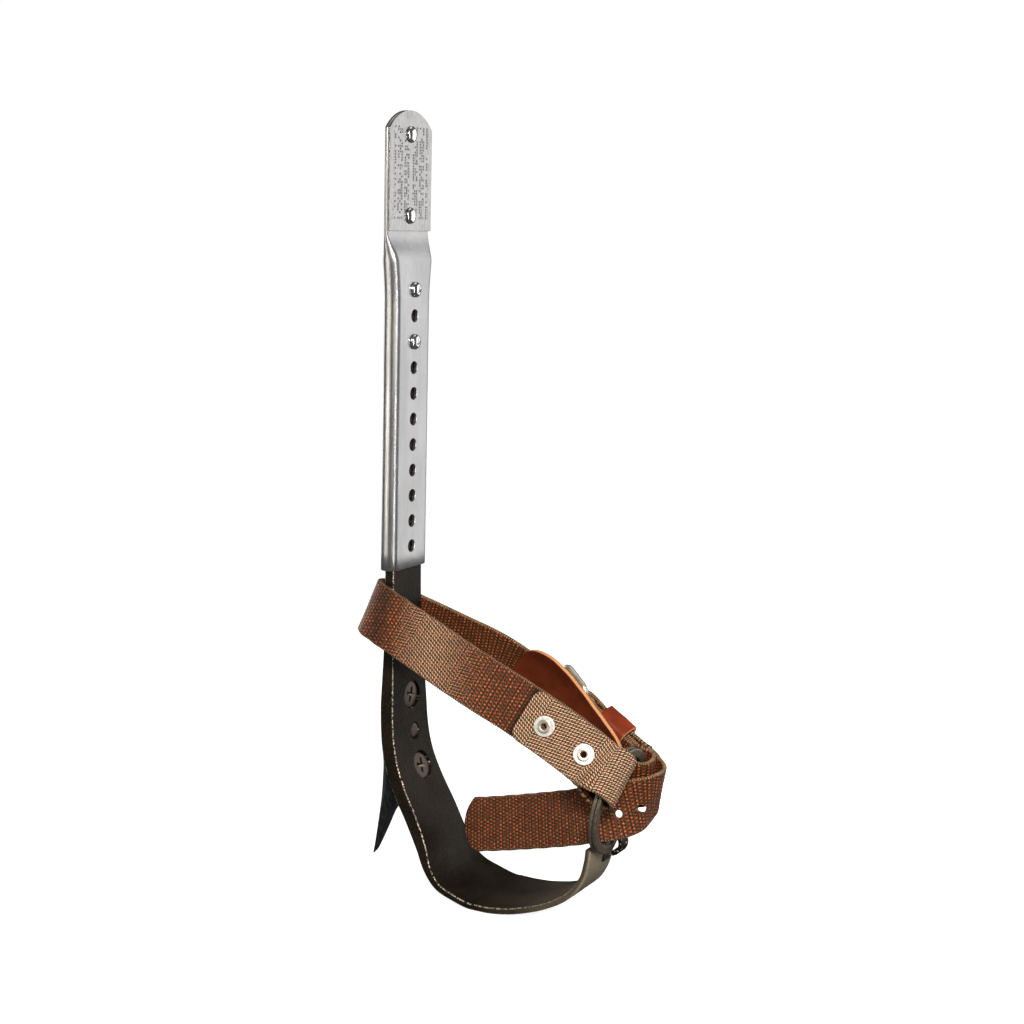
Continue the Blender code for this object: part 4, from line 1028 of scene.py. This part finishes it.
def webbing_strap(name, rows, start_round, end_arc, flap_length=0.0, step=0.5, columns=52):
    """A dense woven band: picks and selvedge loops are in its shape."""
    rows, s = resampled(through(rows, 5), step)
    rings, weave = [], []
    for row, u, o, d in zip(rows, *crosswise(rows), s):
        half = STRAP_WIDTH / 2
        if d < start_round:
            half -= start_round - math.sqrt(start_round ** 2 - (start_round - d) ** 2)
        if s[-1] - d < end_arc:
            bend = ((STRAP_WIDTH / 2) ** 2 + end_arc ** 2) / (2 * end_arc)
            half = math.sqrt(max(bend ** 2 - (bend - s[-1] + d) ** 2, 4.0))
        points, side = flat_section(half, STRAP_THICKNESS / 2, 1.0, columns, 3)
        face = np.abs(side) > 0.99
        lift = PICK_HEIGHT * (pick_relief(d, points[:, 0]) - 0.4) * face
        lift -= SEAM_DEPTH * face * (np.abs((d / PITCH_ALONG) % 1 - 0.5) > 0.38)
        loop = LOOP_HEIGHT * math.cos(2 * math.pi * d / LOOP_PITCH)
        loop = loop * (1 - np.abs(side)) ** 0.5 * (side < 0.99)
        across = points[:, 0] + np.sign(points[:, 0]) * np.where(face, 0.0, loop)
        high = points[:, 1] + np.sign(side) * lift
        rings.append(row[:3] + across[:, None] * u + high[:, None] * o)
        weave.append(np.stack([np.full(len(side), d), points[:, 0], side], axis=1))
    rings, weave = np.array(rings), np.array(weave)
    (x, y, z), (run, _, side) = np.moveaxis(rings, 2, 0), np.moveaxis(weave, 2, 0)
    # The flap and two patches of the near side get a painted sheen that makes them pale. Painted
    # shade darkens the strap by the shank, and a painted shadow lies just past the flap's free end.
    flap = smoothstep((flap_length - run) / 6.0) * (side < 0.5)
    near = (run > flap_length) * (y < 4.0) * (side > -0.5) * (z > 75.0)
    open_run = [d for d, row in zip(s, rows) if d > flap_length and row[0] < rows[0, 0]]
    past_flap = run - min(open_run, default=s[-1])
    shine = 0.70 * bell(x, 34.0, 17.0) + 0.80 * bell(x, -13.0, 5.5)
    painted_shade = 0.55 * bell(x, 2.0, 7.5) + 0.75 * bell(past_flap, 0.6, 2.2)
    # painted light: positive is painted sheen, negative is painted shade
    wear_and_painted_light = np.clip(0.92 * flap + (shine - painted_shade) * near, -1.0, 1.0)
    return lofted(name, rings, WEBBING, sharp=80.0, attributes=(("weave", weave), ("wear_and_painted_light", wear_and_painted_light)))


def reweave(strap, cutters, rim=0.25):
    """Cut holes, then give the new vertices their place in the weave, frayed pale at the rim."""
    before, known = np.empty((2, len(strap.data.vertices) * 3), np.float32)
    strap.data.vertices.foreach_get("co", before)
    strap.data.attributes["weave"].data.foreach_get("vector", known)
    tree = KDTree(len(strap.data.vertices))
    for i, place in enumerate(before.reshape(-1, 3)):
        tree.insert(place, i)
    tree.balance()
    apply_cut(strap, cutters, 80)
    layer = strap.data.attributes["weave"]
    for vertex in strap.data.vertices:
        _, index, away = tree.find(vertex.co)
        if away > 1e-6:
            s, v, side = known.reshape(-1, 3)[index]
            layer.data[vertex.index].vector = (s, v, math.copysign(rim, side))
    return strap


def slab(corners):
    """A block cutter from its two ends of four corners each."""
    return lofted("slot", [corners[:4], corners[4:]], WEBBING)


def make_ankle_strap():
    strap = webbing_strap("ankle_strap_webbing", ankle_strap_rows(), 5.0, 6.4, FLAP_LENGTH)
    cutters = []
    for a, b, out in map(flap_spot, RIVET_X):
        depth = float(np.linalg.norm(a - b))
        cutters.append(drill(STRAP_RIVET_BORE, 4.0, -4.0 - depth, a, out, WEBBING))
    cutters += [drill(PUNCH_RADIUS, 12.0, -12.0, (x, -1.0, z), (0.1, -1, 0.2), WEBBING, 22)
                for x, z in PUNCH_SPOTS]
    cutters.append(slab([on_buckle(a, v, h) for h in (-3.0, 9.0)
                         for a, v in ((-12.0, -2.2), (-1.5, -2.2), (-1.5, 2.2), (-12.0, 2.2))]))
    return reweave(strap, cutters)


def buckle_rivet_bores(front, back, material):
    return [drill(BUCKLE_RIVET_BORE, front, back, on_buckle(along, 0, 0), BUCKLE_OUT, material, 22)
            for along in BUCKLE_RIVETS]


def make_buckle_strap():
    strap = webbing_strap("buckle_strap_webbing", buckle_strap_rows(), 0.8, 0.8)
    slot = slab([on_buckle(a, v, h) for a in (-6.0, 4.4)
                 for v, h in ((-2.4, -6), (2.4, -6), (2.4, 6), (-2.4, 6))])
    return reweave(strap, [slot, *buckle_rivet_bores(10.0, -10.0, WEBBING)])


def make_strap_rivets():
    found = []
    face = STRAP_THICKNESS / 2 + GAP + 0.1
    top = face + WASHER_THICKNESS + GAP
    for i, (a, b, out) in enumerate(map(flap_spot, RIVET_X), 1):
        washer = ring_profile(WASHER_BORE, WASHER_RADIUS, face, face + WASHER_THICKNESS, 0.25,
                              face + 0.35, 0.01)
        ring = turned(f"strap_washer_{i}_ring", washer, a, out, WHITE_METAL, 56, closed=True)
        found.append((ring, f"strap_washer_{i}"))
        back = -float(np.linalg.norm(a - b)) - face
        tube = rounded(((1.5, back), (1.5, top + 0.9), (3.2, top + 0.9), (3.2, top), (2.3, top),
                        (2.3, back), (4.2, back), (4.2, back - 0.8), (1.5, back - 0.8),
                        (1.5, back - 0.1)), 0.45, 5)
        rivet = turned(f"strap_rivet_{i}_tube", tube, a, out, NICKEL, 48, closed=True)
        found.append((rivet, f"strap_rivet_{i}"))
    return found


# ------------------------------------------------------------ buckle, pad and keeper

FRONT_BAR = (-17.0, 4.5)
FRAME_HALF_WIDTH = 17.8
ROLLER_BORE, ROLLER_RADIUS, TONGUE_RADIUS = 2.1, 2.9, 1.45
PAD_THICKNESS, PAD_RISE, PAD_ROUND = 2.6, 4.2, 2.5
PAD_RUN = (
    # along, out, half width on the buckle side
    (-37.5, -4.8, 4.0), (-36.4, -4.9, 10.0), (-33.0, -5.2, 15.0), (-27.0, -5.7, 18.6),
    (-19.0, -6.3, 20.6), (-9.0, -7.1, 20.4), (0.0, -7.4, 18.6), (9.0, -7.5, 16.2),
    (18.0, -7.5, 13.6), (25.0, -7.6, 11.6), (30.5, -7.6, 9.0), (35.0, -8.0, 5.4),
)
KEEPER_WIDTH, KEEPER_ALONG, KEEPER_THICKNESS = 16.6, 21.2, 1.9


def make_buckle():
    corner, half = 3.2, FRAME_HALF_WIDTH
    run, rise = FRONT_BAR
    outline = rounded_box((0.0, -half), (-run, half), corner)
    loop = [on_buckle(-a, v, rise * a / -run) for a, v in outline]
    wire = swept("buckle_wire", loop, BAR_RADIUS, NICKEL, 24, closed=True)
    face = half - corner - 1.6
    shape = ring_profile(ROLLER_BORE, ROLLER_RADIUS, -face, face, 0.4)
    roller = turned("buckle_roller_tube", shape, on_buckle(run, 0, rise), BUCKLE_UP, NICKEL, 40,
                    closed=True)
    eye = ring_profile(BAR_RADIUS + GAP, BAR_RADIUS + 1.9, -TONGUE_RADIUS, TONGUE_RADIUS, 0.5)
    tongue = turned("buckle_tongue_bar", eye, on_buckle(0, 0, 0), BUCKLE_UP, NICKEL, 40,
                    closed=True)
    tip = rise + ROLLER_RADIUS + GAP + 0.2 + TONGUE_RADIUS
    stem = through(((-2.5, 1.4), (-8.0, 4.3), (-13.5, 7.4), (-17.0, tip), (-20.0, tip - 0.3)), 8)
    bar = swept("stem", [on_buckle(a, 0, h) for a, h in stem], TONGUE_RADIUS, NICKEL, 20)
    apply_cut(tongue, [bar], 40, "UNION")
    return wire, roller, tongue


def make_pad():
    rows = np.array([(*on_buckle(a, PAD_RISE, h), *BUCKLE_UP, 2 * half) for a, h, half in PAD_RUN])
    rows, s = resampled(through(rows, 8), 0.6)
    rings, sides = [], []
    for row, u, o, d in zip(rows, *crosswise(rows), s):
        half = row[6] / 2
        near = min(d, s[-1] - d)
        if near < PAD_ROUND:
            half -= PAD_ROUND - math.sqrt(PAD_ROUND ** 2 - (PAD_ROUND - near) ** 2)
        points, side = flat_section(half, PAD_THICKNESS / 2, 0.5, 44, 3)
        warp = 0.10 * np.sin(points[:, 0] * 0.35 + d * 0.21) + 0.06 * np.sin(d * 0.5)
        rings.append(row[:3] + points[:, :1] * u + (points[:, 1] + warp)[:, None] * o)
        sides.append(side)
    pad = lofted("leather_pad_cut", rings, LEATHER, sharp=60.0, attributes=(("side", sides),))
    return apply_cut(pad, buckle_rivet_bores(0.0, -12.0, LEATHER), 60)


def make_buckle_rivets():
    found = []
    outer = 1.35 + STRAP_THICKNESS / 2 + GAP + 0.05
    for i, along in enumerate(BUCKLE_RIVETS, 1):
        shape = rounded(((1.9, outer + 0.5), (2.5, outer), (1.6, outer), (1.6, -9.3),
                         (3.4, -9.3), (3.2, -10.1), (0.3, -10.1)), 0.3)
        rivet = turned(f"buckle_rivet_{i}_pin", [(0.0, outer + 0.5), *shape],
                       on_buckle(along, 0, 0), BUCKLE_OUT, NICKEL, 40)
        found.append((rivet, f"buckle_rivet_{i}"))
    return found


def make_keeper():
    """A leather loop round the strap, with a slight dome over its outside."""
    half, low, high, corner = STRAP_WIDTH / 2 + 1.2, -3.4, 6.4, 2.6
    path = rounded_box((-half, low), (half, high), corner)
    loop = np.array([*path, path[0]])
    loop = resampled(np.column_stack([loop, np.zeros(len(loop))]), 0.7)[0][:-1, :2]
    section, side = flat_section(KEEPER_WIDTH / 2, KEEPER_THICKNESS / 2, 0.4, 26, 3)
    rings = []
    for i, (v, h) in enumerate(loop):
        along = unit(loop[(i + 1) % len(loop)] - loop[i - 1])
        out = np.array((along[1], -along[0]))
        wave = 0.08 * np.sin(section[:, 0] * 0.55 + i * 0.35)
        dome = 1.5 * (1 - (v / half) ** 2) * (h > high - corner)
        depth = section[:, 1] + KEEPER_THICKNESS / 2 + wave + dome
        rings.append([on_buckle(KEEPER_ALONG + a, v + out[0] * d, h + out[1] * d)
                      for a, d in zip(section[:, 0], depth)])
    sides = np.tile(side, (len(rings), 1))
    return lofted("leather_keeper_loop", rings, KEEPER_LEATHER, closed=True, sharp=60.0,
                  attributes=(("side", sides),))


# ------------------------------------------------------------ stage

FLOOR_GAP = 0.0006       # m below the iron, so that they never touch
DOME_RADIUS = 6.0
AIM = Vector((-0.01, 0.0, 0.13))
WARM, PLAIN = (1.0, 0.93, 0.83), (1.0, 0.98, 0.96)
LIGHTS = (
    # name, direction, distance, watts, width, height, colour
    ("key", (0.55, -0.85, 0.55), 1.3, 18.0, 0.28, 0.28, WARM),
    ("fill", (-0.60, -0.85, 0.10), 1.4, 4.5, 0.3, 0.8, WARM),
    ("strip", (0.85, -0.50, 0.02), 1.0, 5.0, 0.10, 1.2, PLAIN),
    ("wall", (0.60, 0.80, 0.10), 1.5, 9.5, 1.4, 1.4, PLAIN),
    ("back", (-0.90, 0.35, 0.15), 1.5, 6.0, 0.9, 0.9, PLAIN),
    ("top", (0.1, 0.25, 1.0), 1.3, 1.8, 0.8, 0.8, PLAIN),
)
CAMERA_TURN = (9.198, 28.513, 1.363)             # pitch, azimuth and roll, degrees
CAMERA_PLACE = Vector((0.41308, -0.75963, 0.33139))
CAMERA_LENS, CAMERA_SENSOR = 63.81, 36.0


def disc(name, radius, height, material, sides=96):
    """A flat round stage piece, centred under the part."""
    rings = [(radius * t * math.cos(a), radius * t * math.sin(a), height)
             for t in (1.0, 0.6, 0.25) for a in (2 * math.pi * k / sides for k in range(sides))]
    faces = [(i * sides + k, i * sides + (k + 1) % sides, (i + 1) * sides + (k + 1) % sides,
              (i + 1) * sides + k) for i in range(2) for k in range(sides)]
    faces.append(tuple(range(2 * sides, 3 * sides)))
    mesh = bpy.data.meshes.new(name)
    mesh.from_pydata(rings, [], faces)
    mesh.materials.append(material)
    found = bpy.data.objects.new(name, mesh)
    bpy.context.scene.collection.objects.link(found)
    return found


def backdrop():
    """A white dome that shows behind the part and doesn't light it."""
    rows = [(DOME_RADIUS * math.cos(a) / MM, DOME_RADIUS * math.sin(a) / MM)
            for a in np.radians(np.linspace(-89.9, 89.9, 25))]
    dome = turned("backdrop", rows, FOOT_REST, (0, 0, 1), WHITE, 64)
    dome.visible_diffuse = dome.visible_glossy = dome.visible_transmission = False
    dome.visible_volume_scatter = dome.visible_shadow = False


def studio():
    """A glowing floor that catches the shadow, the backdrop, a dim world and six lights."""
    floor = disc("floor", 0.7, -FOOT_REST[2] * MM - FLOOR_GAP, FLOOR)
    floor.visible_diffuse = floor.visible_glossy = False
    backdrop()
    world = bpy.data.worlds.new("studio")
    world.use_nodes = True
    background = world.node_tree.nodes["Background"]
    background.inputs["Color"].default_value = (1.0, 1.0, 1.0, 1.0)
    background.inputs["Strength"].default_value = 0.08
    bpy.context.scene.world = world

    for name, direction, distance, energy, width, height, colour in LIGHTS:
        light = bpy.data.lights.new(name, "AREA")
        light.shape = "RECTANGLE"
        light.size, light.size_y, light.energy = width, height, energy
        light.color = colour
        lamp = bpy.data.objects.new(name, light)
        away = Vector(direction).normalized()
        lamp.location = AIM + away * distance
        lamp.rotation_euler = (-away).to_track_quat("-Z", "Y").to_euler()
        lamp.visible_camera = False
        bpy.context.scene.collection.objects.link(lamp)


def camera():
    """The camera, from its measured place and turn."""
    pitch, azimuth, roll = (math.radians(v) for v in CAMERA_TURN)
    cp, sp, ca, sa = math.cos(pitch), math.sin(pitch), math.cos(azimuth), math.sin(azimuth)
    right, ahead = Vector((ca, sa, 0)), Vector((-sa * cp, ca * cp, -sp))
    up = Vector((-sa * sp, ca * sp, cp))
    x = right * math.cos(roll) + up * math.sin(roll)
    y = up * math.cos(roll) - right * math.sin(roll)
    data = bpy.data.cameras.new("camera")
    data.lens, data.sensor_width = CAMERA_LENS, CAMERA_SENSOR
    data.clip_end = 50.0
    found = bpy.data.objects.new("camera", data)
    matrix = Matrix((x, y, -ahead)).transposed().to_4x4()
    matrix.translation = CAMERA_PLACE
    found.matrix_world = matrix
    bpy.context.scene.collection.objects.link(found)
    bpy.context.scene.camera = found


def show(obj, body, slot, *nodes):
    """Let a piece ride on its body, in place of its nodes; its slot is not used."""
    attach(obj, body)
    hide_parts(*nodes)


def main():
    show(make_leg_iron(), "frame", "black_iron", "leg_iron")
    show(make_gaff(), "frame", "gaff_steel", "gaff")
    for obj, node in make_gaff_screws():
        show(obj, "frame", "dark_fastener", node)
    show(make_sleeve(), "sleeve", "satin_aluminium", "sleeve")
    for obj, node in make_tag():
        show(obj, "sleeve", "bright_plate", node)
    for obj, node in make_sleeve_screws():
        show(obj, "frame", "bright_plate", node)
    show(make_ring(), "ring", "ring_steel", "split_ring")
    show(make_ankle_strap(), "frame", "webbing", "ankle_strap")
    show(make_buckle_strap(), "frame", "webbing", "buckle_strap")
    for obj, node in make_strap_rivets():
        show(obj, "frame", "bright_plate", node)
    wire, roller, tongue = make_buckle()
    show(wire, "frame", "nickel", "buckle_frame")
    show(roller, "roller", "nickel", "buckle_roller")
    show(tongue, "tongue", "nickel", "buckle_tongue")
    show(make_pad(), "frame", "leather", "leather_pad")
    for obj, node in make_buckle_rivets():
        show(obj, "frame", "nickel", node)
    show(make_keeper(), "frame", "leather", "leather_keeper")
    studio()
    camera()
    bpy.context.scene.view_settings.view_transform = "Standard"


main()
